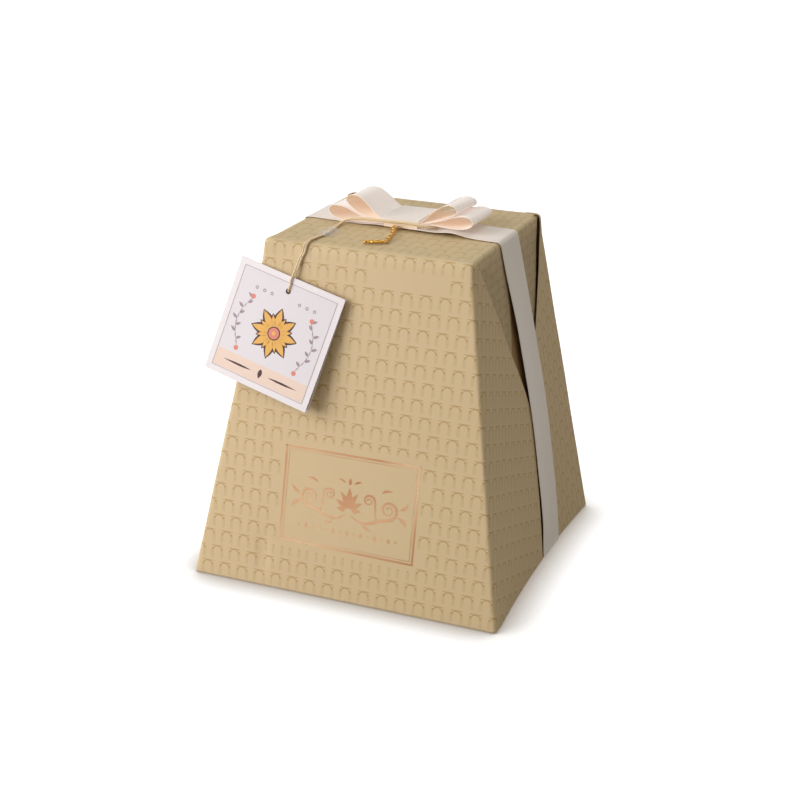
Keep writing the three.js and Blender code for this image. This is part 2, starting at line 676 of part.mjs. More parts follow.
// The chain's middle line, from the ring down to the top face and along it.
const CHAIN_ROUTE = [
  RING_CENTRE, onTop(-2, -21, 1.95), onTop(-0.2, -25.5, 1.85), onTop(1.6, -33, 1.8),
  onTop(3.8, -43, 1.8), onTop(4.9, -54, 1.8),
];

/** The loop of cord that holds the ring: it comes from under the strip round the bow, and goes back. */
function charmLoop() {
  const LOOP_RADIUS = 0.45;
  const through = RING_CENTRE.clone().addScaledVector(CHAIN_START, -0.55);
  const points = [
    onTop(-2.6, -14.8, 0.9), onTop(-2.7, -15.8, 1.2), through, onTop(-1.1, -17.6, 3.6),
    onTop(0.6, -17, 2.6), onTop(2.1, -15.8, 1.8), onTop(2.6, -14.8, 1.6),
  ];
  return mesh('charm_loop', tube(points, LOOP_RADIUS, 22, 8), GOLD_THREAD);
}

/** The ring on the cord, the links and the charm at the end, each a piece of its own. */
function chain() {
  const pieces = new THREE.Group();
  const ring = mesh('chain_ring', wireLink(RING_WIDTH, RING_WIDTH), GOLD);
  pieces.add(placeAlong(ring, RING_CENTRE, CHAIN_START, 0));
  const route = new THREE.CatmullRomCurve3(CHAIN_ROUTE, false, 'centripetal');
  const inside = 2 * WIRE_RADIUS + SLACK; // from one wire's middle to that of the wire hooked into it
  const between = LINK_LENGTH - 2 * WIRE_RADIUS; // from a link's near wire to its far one
  let reach = RING_WIDTH / 2 - WIRE_RADIUS - inside;
  const hook = RING_CENTRE.clone().addScaledVector(CHAIN_START, reach);
  LINK_ROLLS.forEach((roll, i) => {
    const target = route.getPointAt(Math.min(1, (reach + between) / route.getLength()));
    const along = target.sub(hook).normalize();
    const link = mesh(`chain_link_${i + 1}`, wireLink(LINK_LENGTH, LINK_WIDTH), GOLD);
    const centre = hook.clone().addScaledVector(along, between / 2);
    pieces.add(placeAlong(link, centre, along, deg(roll)));
    hook.addScaledVector(along, between - inside);
    reach += between - inside;
  });
  hook.addScaledVector(route.getTangentAt(1), EYE_WIDTH / 2 - WIRE_RADIUS);
  return pieces.add(charm(hook));
}

/** The charm: a flat claw with an eye, a long open body, a neck and a ball. Local X runs to the ball. */
function charm(eyeCentre) {
  const SIDES = 10;
  const outline = new THREE.Shape();
  outline.absellipse(0, 0, 5.2, 2.8, 0, 2 * Math.PI);
  const opening = new THREE.Path();
  opening.absellipse(-0.6, 0.1, 3, 1.1, 0, 2 * Math.PI, true);
  outline.holes.push(opening);
  const BEVEL = 0.45;
  const body = new THREE.ExtrudeGeometry(outline, {
    depth: 1,
    curveSegments: SIDES,
    bevelSegments: 2,
    bevelSize: BEVEL,
    bevelThickness: BEVEL,
    bevelOffset: -BEVEL,
  });
  const at = (x) => new THREE.Matrix4().makeTranslation(x, 0, 0);
  let solid = toManifold(body, new THREE.Matrix4().makeTranslation(0, 0, -0.5));
  solid = solid.add(toManifold(wireLink(EYE_WIDTH, EYE_WIDTH), at(-EYE_AT)));
  const turned = [[0, -1.5], [1.1, -1.5], [1.35, 0], [0.7, 0.5], [0.7, 1.3], [0, 1.3]];
  const collar = new THREE.LatheGeometry(turned.map(([r, x]) => new THREE.Vector2(r, x)), SIDES);
  const alongX = new THREE.Matrix4().makeRotationZ(-Math.PI / 2);
  solid = solid.add(toManifold(collar, at(5.8).multiply(alongX)));
  solid = solid.add(toManifold(new THREE.SphereGeometry(1.35, SIDES, 7), at(8)));
  const towards = new THREE.Vector3(-11.6, -6.6, -0.2).normalize();
  const centre = eyeCentre.clone().addScaledVector(towards, EYE_AT);
  return placeAlong(mesh('charm', fromManifold(solid), GOLD), centre, towards, 0);
}

// ---------------------------------------------------------------- the whole

const group = new THREE.Group();
group.add(
  wrappedBox(),
  ribbonBand(),
  bowTier('bow_lower_tier', LOWER_TIER, 78),
  bowTier('bow_upper_tier', UPPER_TIER, 72),
  bowWrap(),
  hangTag(),
  giftCord(),
  clearSticker(),
  charmLoop(),
  chain(),
);

export default group;
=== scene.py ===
"""Looks of a gift-wrapped cake box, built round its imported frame.

A truncated pyramid in folded wrapping paper is tied with a satin ribbon and a double-loop bow. A twisted
cord holds a folded hang tag, a clear sticker holds the cord, and a small gold charm hangs on a chain.

Places and sizes are worked out in millimetres, in the frame's axes: +Z up, the front towards -Y. Meshes
are made in metres.
"""

from __future__ import annotations

import logging
import math
from collections.abc import Callable, Iterable, Sequence
from dataclasses import dataclass, field
from enum import Enum
from functools import cache, partial

import bmesh
import bpy
import numpy as np
from mathutils import Matrix, Vector, noise

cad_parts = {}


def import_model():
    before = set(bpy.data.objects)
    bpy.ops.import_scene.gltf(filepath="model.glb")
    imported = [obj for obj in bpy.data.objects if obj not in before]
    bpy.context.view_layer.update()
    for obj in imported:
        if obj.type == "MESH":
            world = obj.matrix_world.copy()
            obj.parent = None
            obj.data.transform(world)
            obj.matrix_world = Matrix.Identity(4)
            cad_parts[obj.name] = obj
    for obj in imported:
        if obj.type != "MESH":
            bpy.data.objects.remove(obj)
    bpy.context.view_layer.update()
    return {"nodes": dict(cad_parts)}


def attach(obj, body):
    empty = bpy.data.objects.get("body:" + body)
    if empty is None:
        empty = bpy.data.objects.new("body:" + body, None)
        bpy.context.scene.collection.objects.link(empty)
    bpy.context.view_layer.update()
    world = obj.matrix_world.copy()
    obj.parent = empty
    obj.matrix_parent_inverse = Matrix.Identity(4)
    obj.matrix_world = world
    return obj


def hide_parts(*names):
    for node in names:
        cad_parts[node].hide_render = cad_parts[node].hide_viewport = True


LOG = logging.getLogger("gift_box")
METRES = 0.001  # metres in a millimetre
PAPER_MAP = "paper_mm"  # the UV map that holds a sheet's own coordinates, in millimetres
TINT = "tint"  # the attribute that says how far a surface takes its finish's second colour: painted shade on the paper's side flaps and in the cord's valleys, a painted warm glow on the satin's inner side, painted glints on the film
RIM_ANGLE = 50.0  # edges of a thickened sheet that bend more than this many degrees are sharp

Point = tuple[float, float, float]
Flat = tuple[float, float]
FlatPath = tuple[Flat, ...]
Colour = tuple[float, float, float]
Tree = bpy.types.NodeTree
Socket = bpy.types.NodeSocket
Material = bpy.types.Material


# ---------------------------------------------------------------- small mathematics


def lerp(a: float, b: float, share: float) -> float:
    """The value a share of the way from a to b."""
    return a + (b - a) * share


def smoothstep(value: float, low: float, high: float) -> float:
    """0 below low, 1 above high, and a smooth rise between them."""
    share = min(1.0, max(0.0, (value - low) / (high - low)))
    return share * share * (3 - 2 * share)


def bell(value: float, centre: float, width: float) -> float:
    """A smooth hump of height 1 at centre."""
    return math.exp(-(((value - centre) / width) ** 2))


def ripple(x: float, y: float, seed: float, size: float) -> float:
    """Smooth noise between about -1 and 1, the same in each run."""
    return noise.noise(Vector((x / size, y / size, seed)))


def spline(points: Sequence[Sequence[float]], closed: bool = False, per_span: int = 16) -> np.ndarray:
    """Draws a smooth curve through points.

    Args:
        points: The points that the curve passes through.
        closed: Whether it runs back to its first point.
        per_span: How many steps to take between two points.

    Returns:
        Points along the curve, one in each row. A closed curve doesn't repeat its first point.
    """
    knots = np.array(points, float)
    count = len(knots)
    if closed:
        padded = np.vstack([knots[-1], knots, knots[:2]])
    else:
        padded = np.vstack([2 * knots[0] - knots[1], knots, 2 * knots[-1] - knots[-2]])
    line = []
    for i in range(count if closed else count - 1):
        p0, p1, p2, p3 = padded[i:i + 4]
        spans = (p1 - p0, p2 - p1, p3 - p2)
        before, here, after = (max(1e-4, np.linalg.norm(span) ** 0.5) for span in spans)
        leave = ((p1 - p0) / before - (p2 - p0) / (before + here) + (p2 - p1) / here) * here
        arrive = ((p2 - p1) / here - (p3 - p1) / (here + after) + (p3 - p2) / after) * here
        for step in range(per_span):
            t = step / per_span
            line.append(
                (2 * t**3 - 3 * t**2 + 1) * p1 + (t**3 - 2 * t**2 + t) * leave
                + (3 * t**2 - 2 * t**3) * p2 + (t**3 - t**2) * arrive
            )
    if not closed:
        line.append(knots[-1])
    return np.array(line)


def distances(line: np.ndarray) -> np.ndarray:
    """Length along a line at each of its points."""
    return np.concatenate([[0], np.cumsum(np.linalg.norm(np.diff(line, axis=0), axis=1))])


def evenly(line: np.ndarray, count: int, closed: bool = False) -> np.ndarray:
    """Spreads points evenly along a line.

    Args:
        line: The line's points.
        count: How many points to make.
        closed: Whether the line runs back to its first point.

    Returns:
        The new points.
    """
    whole = np.vstack([line, line[:1]]) if closed else line
    reach = distances(whole)
    at = np.linspace(0, reach[-1], count + 1)[:-1] if closed else np.linspace(0, reach[-1], count)
    return np.stack([np.interp(at, reach, whole[:, k]) for k in range(whole.shape[1])], axis=1)


def directions(line: np.ndarray, closed: bool = False) -> np.ndarray:
    """Works out which way a line runs at each of its points.

    Args:
        line: The line's points.
        closed: Whether the line runs back to its first point.

    Returns:
        The unit vectors along it.
    """
    ahead = np.roll(line, -1, axis=0) if closed else np.vstack([line[1:], 2 * line[-1] - line[-2]])
    behind = np.roll(line, 1, axis=0) if closed else np.vstack([2 * line[0] - line[1], line[:-1]])
    along = ahead - behind
    return along / np.maximum(1e-9, np.linalg.norm(along, axis=1))[:, None]


def carried_frames(line: np.ndarray, closed: bool = False) -> tuple[np.ndarray, np.ndarray]:
    """Carries two directions across a line along it, without twisting.

    Args:
        line: The line's points.
        closed: Whether the line runs back to its first point.

    Returns:
        The two arrays of unit vectors, both across the line and square to each other.
    """
    along = directions(line, closed)
    start = np.cross(along[0], (0.0, 0.0, 1.0))
    if np.linalg.norm(start) < 0.05:
        start = np.cross(along[0], (0.0, 1.0, 0.0))
    first = [start / np.linalg.norm(start)]
    for direction in along[1:]:
        across = first[-1] - direction * np.dot(first[-1], direction)
        first.append(across / np.linalg.norm(across))
    first = np.array(first)
    return first, np.cross(along, first)


def tube_rows(line: np.ndarray, radius: float | np.ndarray, sides: int, closed: bool = False) -> np.ndarray:
    """Makes rings of points round a line.

    Args:
        line: The line's points.
        radius: The tube's radius, or one for each point.
        sides: Points in each ring.
        closed: Whether the line runs back to its first point.

    Returns:
        An array of rings, points and coordinates.
    """
    first, second = carried_frames(line, closed)
    angles = np.linspace(0, 2 * math.pi, sides, endpoint=False)
    reach = np.broadcast_to(np.asarray(radius, float), (len(line),))[:, None, None]
    around = first[:, None] * np.cos(angles)[None, :, None] + second[:, None] * np.sin(angles)[None, :, None]
    return line[:, None] + reach * around


# ---------------------------------------------------------------- meshes


@dataclass
class Mesh:
    """Faces gathered from grids of points, for one object. Points are in millimetres."""

    points: list[Point] = field(default_factory=list)
    faces: list[tuple[int, ...]] = field(default_factory=list)
    paper: list[Flat] = field(default_factory=list)
    tints: list[float] = field(default_factory=list)
    slots: list[int] = field(default_factory=list)

    def add_points(self, points: Iterable[Sequence[float]], paper: Iterable[Sequence[float]] | None,
                   tints: Iterable[float] | float) -> int:
        """Adds points.

        Args:
            points: Their places.
            paper: Their paper coordinates.
            tints: The tint of each, or of them all.

        Returns:
            The number of the first one.
        """
        start = len(self.points)
        self.points.extend(tuple(float(c) for c in p) for p in points)
        count = len(self.points) - start
        self.paper.extend([(0.0, 0.0)] * count if paper is None else [tuple(p) for p in paper])
        self.tints.extend([float(tints)] * count if isinstance(tints, (int, float)) else tints)
        return start

    def grid(self, points: np.ndarray, paper: np.ndarray | None = None, tints: np.ndarray | float = 0.0,
             slot: int = 0, loops: bool = False, tube: bool = False, flip: bool = False) -> None:
        """Adds the faces between rows and columns of points.

        Args:
            points: Rows, columns and coordinates.
            paper: The paper coordinates of each point.
            tints: The tint of each point, or of them all.
            slot: The material slot of the faces.
            loops: Whether the last row joins the first one.
            tube: Whether the last column joins the first one.
            flip: Whether the faces look the other way.
        """
        rows, columns = points.shape[:2]
        flat_tints = tints if isinstance(tints, (int, float)) else np.asarray(tints, float).ravel().tolist()
        start = self.add_points(
            points.reshape(-1, 3), None if paper is None else paper.reshape(-1, 2).tolist(), flat_tints
        )
        for i in range(rows if loops else rows - 1):
            for j in range(columns if tube else columns - 1):
                down, right = (i + 1) % rows, (j + 1) % columns
                face = (
                    start + i * columns + j, start + i * columns + right,
                    start + down * columns + right, start + down * columns + j,
                )
                self.faces.append(face[::-1] if flip else face)
                self.slots.append(slot)

    def ring_cap(self, ring: np.ndarray, tints: float = 0.0, flip: bool = False) -> None:
        """Closes a ring of points with one face.

        Args:
            ring: The points.
            tints: Their tint.
            flip: Whether the face looks the other way.
        """
        start = self.add_points(ring, None, tints)
        face = tuple(range(start, start + len(ring)))
        self.faces.append(face[::-1] if flip else face)
        self.slots.append(0)

    def tube(self, line: np.ndarray, radius: float | np.ndarray, sides: int, closed: bool = False) -> None:
        """Adds a round tube along a line, with closed ends.

        Args:
            line: The line's points.
            radius: The tube's radius, or one for each point.
            sides: Points in each ring.
            closed: Whether the line runs back to its first point.
        """
        rows = tube_rows(line, radius, sides, closed)
        self.grid(rows, loops=closed, tube=True)
        if not closed:
            self.ring_cap(rows[0], flip=True)
            self.ring_cap(rows[-1])

    def build(self, name: str, materials: Sequence[Material], weld: float = 0.002,
              smooth_angle: float = 180.0) -> bpy.types.Object:
        """Makes the object.

        Args:
            name: The object's name.
            materials: Its materials, in the order of the faces' slots.
            weld: Points closer than this, in millimetres, become one.
            smooth_angle: Edges that bend more than this many degrees stay sharp.

        Returns:
            The new object, at the origin.
        """
        data = bpy.data.meshes.new(name)
        data.from_pydata([tuple(c * METRES for c in p) for p in self.points], [], self.faces)
        data.polygons.foreach_set("material_index", self.slots)
        corners = np.zeros(len(data.loops), np.int32)
        data.loops.foreach_get("vertex_index", corners)
        layer = data.uv_layers.new(name=PAPER_MAP)
        layer.uv.foreach_set("vector", np.array(self.paper, np.float32)[corners].ravel())
        attribute = data.attributes.new(TINT, "FLOAT", "POINT")
        attribute.data.foreach_set("value", np.array(self.tints, np.float32))
        for material in materials:
            data.materials.append(material)
        piece = bpy.data.objects.new(name, data)
        bpy.context.scene.collection.objects.link(piece)
        work = bmesh.new()
        work.from_mesh(data)
        bmesh.ops.remove_doubles(work, verts=work.verts, dist=weld * METRES)
        bmesh.ops.dissolve_degenerate(work, edges=work.edges, dist=weld * METRES)
        work.to_mesh(data)
        work.free()
        data.shade_smooth()
        if smooth_angle < 180:
            data.set_sharp_from_angle(angle=math.radians(smooth_angle))
        return piece


def thicken(piece: bpy.types.Object, thickness: float, outward: float = -1.0, inner_slot: int = 0) -> None:
    """Gives a sheet its thickness, in millimetres, with sharp rims.

    Args:
        piece: The sheet.
        thickness: How thick it is.
        outward: -1 where it grows inward from its faces, 1 outward, 0 both ways.
        inner_slot: How many slots further the inner face's material is.
    """
    modifier = piece.modifiers.new("thickness", "SOLIDIFY")
    modifier.thickness = thickness * METRES
    modifier.offset = outward
    modifier.material_offset = inner_slot
    modifier.material_offset_rim = inner_slot
    sheet = piece.data
    solid = bpy.data.meshes.new_from_object(piece.evaluated_get(bpy.context.evaluated_depsgraph_get()))
    piece.modifiers.clear()
    piece.data = solid
    solid.name = piece.name
    bpy.data.meshes.remove(sheet)
    solid.shade_smooth()
    solid.set_sharp_from_angle(angle=math.radians(RIM_ANGLE))


def place(piece: bpy.types.Object, slot: str, *nodes: str) -> None:
    """Makes a finished piece part of the object.

    Args:
        piece: The piece, at its place.
        slot: The name of the record's material slot that it stands for; it is only logged.
        *nodes: The frame's nodes that it stands for.
    """
    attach(piece, "root")
    if nodes:
        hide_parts(*nodes)
    LOG.info("%s: %d faces, %s", piece.name, len(piece.data.polygons), slot)


# ---------------------------------------------------------------- shader nodes


@dataclass(frozen=True)
class Signal:
    """A number that varies over a surface. Its arithmetic adds Math nodes to its tree."""

    tree: Tree
    socket: Socket

    def calculate(self, operation: str, *others: Signal | float, clamp: bool = False) -> Signal:
        """Adds one Math node.

        Args:
            operation: What the node does.
            *others: The numbers that it takes after this one.
            clamp: Whether its result stays between 0 and 1.

        Returns:
            What comes out of it.
        """
        node = self.tree.nodes.new("ShaderNodeMath")
        node.operation = operation
        node.use_clamp = clamp
        for socket, value in zip(node.inputs, (self, *others)):
            if isinstance(value, Signal):
                self.tree.links.new(value.socket, socket)
            else:
                socket.default_value = value
        return Signal(self.tree, node.outputs[0])

    def __add__(self, other: Signal | float) -> Signal:
        """The sum."""
        return self.calculate("ADD", other)

    def __sub__(self, other: Signal | float) -> Signal:
        """The difference."""
        return self.calculate("SUBTRACT", other)

    def __mul__(self, other: Signal | float) -> Signal:
        """The product."""
        return self.calculate("MULTIPLY", other)

    def __abs__(self) -> Signal:
        """The size without the sign."""
        return self.calculate("ABSOLUTE")

    def over(self, other: Signal | float) -> Signal:
        """The quotient."""
        return self.calculate("DIVIDE", other)

    def larger(self, other: Signal) -> Signal:
        """The larger of the two."""
        return self.calculate("MAXIMUM", other)

    def wrapped(self, length: float) -> Signal:
        """What is left over whole lengths, from 0 up."""
        return self.calculate("FLOORED_MODULO", length)

    def inside(self, limit: float, softness: float) -> Signal:
        """1 where the number's size is under the limit, 0 outside, with a soft edge."""
        return (abs(self) * -1.0 + limit).calculate("DIVIDE", softness).calculate("ADD", 0.5, clamp=True)

    def under(self, limit: float, softness: float) -> Signal:
        """1 where the number is under the limit, 0 above it, with a soft edge."""
        return (self * -1.0 + limit).calculate("DIVIDE", softness).calculate("ADD", 0.5, clamp=True)

    def distance(self, other: Signal) -> Signal:
        """Length of the vector with these two parts."""
        return (self * self + other * other).calculate("SQRT")

    def inverse(self) -> Signal:
        """One less the number."""
        return self * -1.0 + 1.0


def new_group(name: str, inputs: dict[str, float], outputs: Sequence[str]) -> tuple[Tree, dict[str, Signal]]:
    """Starts a shader node group.

    Args:
        name: The group's name.
        inputs: Its numbers by name, with their usual values.
        outputs: The names of the numbers that it puts out.

    Returns:
        The group, and the signals of its inputs by name.
    """
    tree = bpy.data.node_groups.new(name, "ShaderNodeTree")
    for label, value in inputs.items():
        socket = tree.interface.new_socket(name=label, in_out="INPUT", socket_type="NodeSocketFloat")
        socket.default_value = value
    for label in outputs:
        tree.interface.new_socket(name=label, in_out="OUTPUT", socket_type="NodeSocketFloat")
    entry = tree.nodes.new("NodeGroupInput")
    return tree, {label: Signal(tree, entry.outputs[label]) for label in inputs}


def close_group(tree: Tree, results: dict[str, Signal]) -> Tree:
    """Joins a group's results to its outputs.

    Args:
        tree: The group.
        results: Its results by the outputs' names.

    Returns:
        The group.
    """
    leave = tree.nodes.new("NodeGroupOutput")
    for label, signal in results.items():
        tree.links.new(signal.socket, leave.inputs[label])
    return tree


@cache
def arcade_group() -> Tree:
    """Rows of small arches under lintels, each row half a step aside, on a sheet's own coordinates.

    Returns:
        The group. Line is the drawn lines, Pier the faint uprights under an arch, and Eye the pale round
        spots over its shoulders. Cell Across and Cell Up are the place of the arch's lintel.
    """
    tree, given = new_group(
        "Arcade", {"Across": 0, "Up": 0, "Step": 13.7, "Row": 11.72},
        ("Line", "Pier", "Eye", "Cell Across", "Cell Up"),
    )
    row = given["Up"].over(given["Row"])
    number = row.calculate("CEIL")
    down = (number - row) * given["Row"]
    aside = number.wrapped(2.0) * 0.5
    along = given["Across"].over(given["Step"]) + aside
    column = along.calculate("FLOOR")
    across = abs((along - column - 0.5) * given["Step"])

    # Millimetres down from the lintel's top and across from the arch's middle.
    soft = 0.35
    lintel = (down - 0.45).inside(0.26, soft) * across.under(4.2, soft)
    arch = (across.distance(down - 4.3) - 3.45).inside(0.36, soft) * down.under(4.0, 0.5) * 0.9
    capital = (across - 3.65).distance(down - 2.75).under(0.62, 0.4)
    eye_away = (across - 3.85).distance(down - 1.5)
    eye = eye_away.under(0.5, 0.4)
    eye_rim = (eye_away - 0.78).inside(0.14, soft) * 0.45
    shaft = (across - 3.75).inside(1.0, 0.4) * down.under(9.4, 1.6) * (down * -1.0).under(-3.3, 0.5)
    edges = (abs(across - 3.75) - 0.85).inside(0.16, soft) * shaft * 0.45
    lines = lintel.larger(arch).larger(capital).larger(eye_rim).larger(edges) * eye.inverse()
    cell_across = (column - aside + 0.5) * given["Step"]
    return close_group(tree, {
        "Line": lines, "Pier": shaft, "Eye": eye,
        "Cell Across": cell_across, "Cell Up": number * given["Row"],
    })


@cache
def grain_group() -> Tree:
    """Fine grain and slow clouding from an object's own place, for paper, card and cord.

    Returns:
        The group. Grain is fine noise about 0.5, and Cloud is slow noise about 0.5.
    """
    tree, given = new_group("Grain", {"Fine": 2200, "Slow": 14}, ("Grain", "Cloud"))
    place_node = tree.nodes.new("ShaderNodeTexCoord")
    made = {}
    for label, scale, detail in (("Grain", "Fine", 3.0), ("Cloud", "Slow", 2.0)):
        texture = tree.nodes.new("ShaderNodeTexNoise")
        texture.inputs["Detail"].default_value = detail
        tree.links.new(place_node.outputs["Object"], texture.inputs["Vector"])
        tree.links.new(given[scale].socket, texture.inputs["Scale"])
        made[label] = Signal(tree, texture.outputs["Fac"])
    return close_group(tree, made)


@cache
def weave_group() -> Tree:
    """Fine threads along and across a ribbon, on its own coordinates.

    Returns:
        The group. Threads is the height of the weave, and Streak is a slow change across the ribbon.
    """
    tree, given = new_group("Weave", {"Along": 0, "Across": 0, "Threads": 2.6}, ("Threads", "Streak"))
    turns = 2 * math.pi
    warp = (given["Across"] * given["Threads"] * turns).calculate("SINE")
    weft = (given["Along"] * given["Threads"] * (0.62 * turns)).calculate("SINE")
    height = (warp * 0.65 + weft * 0.35) * 0.5 + 0.5
    texture = tree.nodes.new("ShaderNodeTexNoise")
    texture.noise_dimensions = "2D"
    texture.inputs["Scale"].default_value = 1.0
    texture.inputs["Detail"].default_value = 2.0
    join = tree.nodes.new("ShaderNodeCombineXYZ")
    tree.links.new((given["Along"] * 0.02).socket, join.inputs["X"])
    tree.links.new((given["Across"] * 0.6).socket, join.inputs["Y"])
    tree.links.new(join.outputs["Vector"], texture.inputs["Vector"])
    return close_group(tree, {"Threads": height, "Streak": Signal(tree, texture.outputs["Fac"])})


class Shader:
    """One material and its Principled shader, with the few steps that finishes share."""

    def __init__(self, name: str, roughness: float, metallic: float = 0.0, **sockets: float) -> None:
        """Starts a material.

        Args:
            name: The material's name.
            roughness: Its roughness.
            metallic: 1 for metal.
            **sockets: Other sockets of the shader, by name with underscores, with their values.
        """
        self.material = bpy.data.materials.new(name)
        self.material.use_nodes = True
        self.tree = self.material.node_tree
        self.shader = self.tree.nodes["Principled BSDF"]
        self.shader.inputs["Roughness"].default_value = roughness
        self.shader.inputs["Metallic"].default_value = metallic
        for label, value in sockets.items():
            self.shader.inputs[label.replace("_", " ")].default_value = value

    def effect(self, make: Callable[[], Tree], **values: Signal | float) -> dict[str, Signal]:
        """Places a node group.

        Args:
            make: The function that makes the group, or finds it where it is made.
            **values: What goes into the group, by the inputs' names.

        Returns:
            The signals that come out of it, by name.
        """
        node = self.tree.nodes.new("ShaderNodeGroup")
        node.node_tree = make()
        for label, value in values.items():
            if isinstance(value, Signal):
                self.tree.links.new(value.socket, node.inputs[label])
            else:
                node.inputs[label].default_value = value
        return {socket.name: Signal(self.tree, socket) for socket in node.outputs}

    def parts(self, vector: Socket) -> list[Signal]:
        """Takes a vector apart.

        Args:
            vector: The socket that it comes out of.

        Returns:
            Its three parts.
        """
        node = self.tree.nodes.new("ShaderNodeSeparateXYZ")
        self.tree.links.new(vector, node.inputs["Vector"])
        return [Signal(self.tree, socket) for socket in node.outputs]

    def paper_place(self) -> list[Signal]:
        """Finds a sheet's own coordinates.

        Returns:
            The places across and up the sheet, in millimetres.
        """
        uv = self.tree.nodes.new("ShaderNodeUVMap")
        uv.uv_map = PAPER_MAP
        return self.parts(uv.outputs["UV"])[:2]

    def height(self) -> Signal:
        """Height above the base, in millimetres."""
        coordinates = self.tree.nodes.new("ShaderNodeTexCoord")
        return self.parts(coordinates.outputs["Object"])[2] * (1 / METRES)

    def tint(self) -> Signal:
        """Finds how far each point takes the second colour.

        Returns:
            The share, from 0 to 1.
        """
        attribute = self.tree.nodes.new("ShaderNodeAttribute")
        attribute.attribute_name = TINT
        return Signal(self.tree, attribute.outputs["Fac"])

    def mix(self, share: Signal, first: Colour | Socket, second: Colour) -> Socket:
        """Mixes two colours.

        Args:
            share: How much there is of the second one.
            first: The first colour, or a socket that it comes out of.
            second: The second colour.

        Returns:
            The socket that the mixed colour comes out of.
        """
        node = self.tree.nodes.new("ShaderNodeMix")
        node.data_type = "RGBA"
        self.tree.links.new(share.socket, node.inputs["Factor"])
        colours = [socket for socket in node.inputs if socket.type == "RGBA"]
        if isinstance(first, tuple):
            colours[0].default_value = (*first, 1.0)
        else:
            self.tree.links.new(first, colours[0])
        colours[1].default_value = (*second, 1.0)
        return next(socket for socket in node.outputs if socket.type == "RGBA")

    def feed(self, label: str, value: Signal | Socket) -> None:
        """Joins a number or colour that varies to one of the shader's sockets."""
        self.tree.links.new(value.socket if isinstance(value, Signal) else value, self.shader.inputs[label])

    def bump(self, height: Signal, depth: float) -> None:
        """Adds relief.

        Args:
            height: Its height, from 0 to 1.
            depth: How many millimetres a height of 1 stands for.
        """
        node = self.tree.nodes.new("ShaderNodeBump")
        node.inputs["Distance"].default_value = depth * METRES
        self.tree.links.new(height.socket, node.inputs["Height"])
        self.feed("Normal", node.outputs["Normal"])


# ---------------------------------------------------------------- finishes


@dataclass(frozen=True)
class PaperFinish:
    """Beige wrapping paper with a tone-on-tone print of small arches, painted shade on the top and on the
    top's flaps down the sides.
    """

    ground: Colour = (0.64, 0.488, 0.294)
    # painted shade: the top is darker and greener than the faces, for how light falls on it; the slow
    # clouding also mixes this colour in at random
    top_shade_and_mottle: Colour = (0.585, 0.475, 0.275)
    line: Colour = (0.43, 0.262, 0.085)
    pier: Colour = (0.50, 0.365, 0.165)
    eye: Colour = (0.69, 0.55, 0.345)
    # painted shade on the top's flaps down the sides, where they lie under the front's flaps
    flap_shade: Colour = (0.02, 0.012, 0.004)
    arch_x: float = -10.35  # the middle of one arch, across the front
    arch_top: float = 175.7  # its lintel, up the front
    step: float = 13.7  # from one arch to the next
    panel_across: Flat = (-57.0, 55.0)  # no arch has its middle here
    panel_up: Flat = (32.0, 111.0)  # and the print leaves off here
    label_across: Flat = (2.0, 60.0)
    label_row: float = 233.6  # the lintels of the row that leaves off near the top
    top_shade_from: float = 238.0  # the height where the top's painted shade sets in
    top_shade_over: float = 8.0
    roughness: float = 0.56
    gloss: float = 0.12  # how much smoother the printed lines are
    relief: float = 0.03

    def build(self) -> Material:
        """Makes the finish.

        Returns:
            The material.
        """
        shader = Shader("wrapping_paper", self.roughness, Specular_IOR_Level=0.35)
        across, up = shader.paper_place()
        print_ = shader.effect(
            arcade_group, Across=across - self.arch_x + self.step / 2, Up=up - self.arch_top
        )
        cell_across = print_["Cell Across"] + (self.arch_x - self.step / 2)
        cell_up = print_["Cell Up"] + self.arch_top
        bare_panel = self.between(cell_across, self.panel_across) * self.between(up, self.panel_up)
        label_row = (cell_up - self.label_row).inside(3.0, 0.2)
        bare_label = self.between(cell_across, self.label_across) * label_row
        shown = bare_panel.inverse() * bare_label.inverse()
        grain = shader.effect(grain_group, Fine=1500.0, Slow=9.0)
        cloud = grain["Cloud"]
        # Painted shade on the top, from near its edge up, and random clouding of the tone.
        high = (shader.height() - self.top_shade_from).calculate("DIVIDE", self.top_shade_over, clamp=True)
        colour = shader.mix(high * 0.8 + (cloud - 0.5) * 0.5, self.ground, self.top_shade_and_mottle)
        colour = shader.mix(print_["Pier"] * shown * 0.30, colour, self.pier)
        colour = shader.mix(print_["Line"] * shown * 0.8, colour, self.line)
        colour = shader.mix(print_["Eye"] * shown * 0.6, colour, self.eye)
        # Painted shade where the tint is set: the top's flaps down the sides.
        shader.feed("Base Color", shader.mix(shader.tint() * 0.24, colour, self.flap_shade))
        shader.feed("Roughness", print_["Line"] * shown * -self.gloss + self.roughness)
        shader.bump(grain["Grain"] * 0.35 + print_["Line"] * shown * 0.5, self.relief)
        return shader.material

    @staticmethod
    def between(signal: Signal, limits: Flat) -> Signal:
        """1 between two limits, 0 outside them."""
        return (signal - sum(limits) / 2).inside((limits[1] - limits[0]) / 2, 0.3)


@dataclass(frozen=True)
class ReverseFinish:
    """The wrapping paper's unprinted reverse and the card box under it."""

    colour: Colour = (0.40, 0.25, 0.11)
    dark: Colour = (0.28, 0.165, 0.07)

    def build(self) -> Material:
        """Makes the finish.

        Returns:
            The material.
        """
        shader = Shader("paper_reverse", 0.75, Specular_IOR_Level=0.2)
        grain = shader.effect(grain_group, Fine=900.0, Slow=20.0)
        shader.feed("Base Color", shader.mix(grain["Cloud"], self.colour, self.dark))
        shader.bump(grain["Grain"], 0.04)
        return shader.material


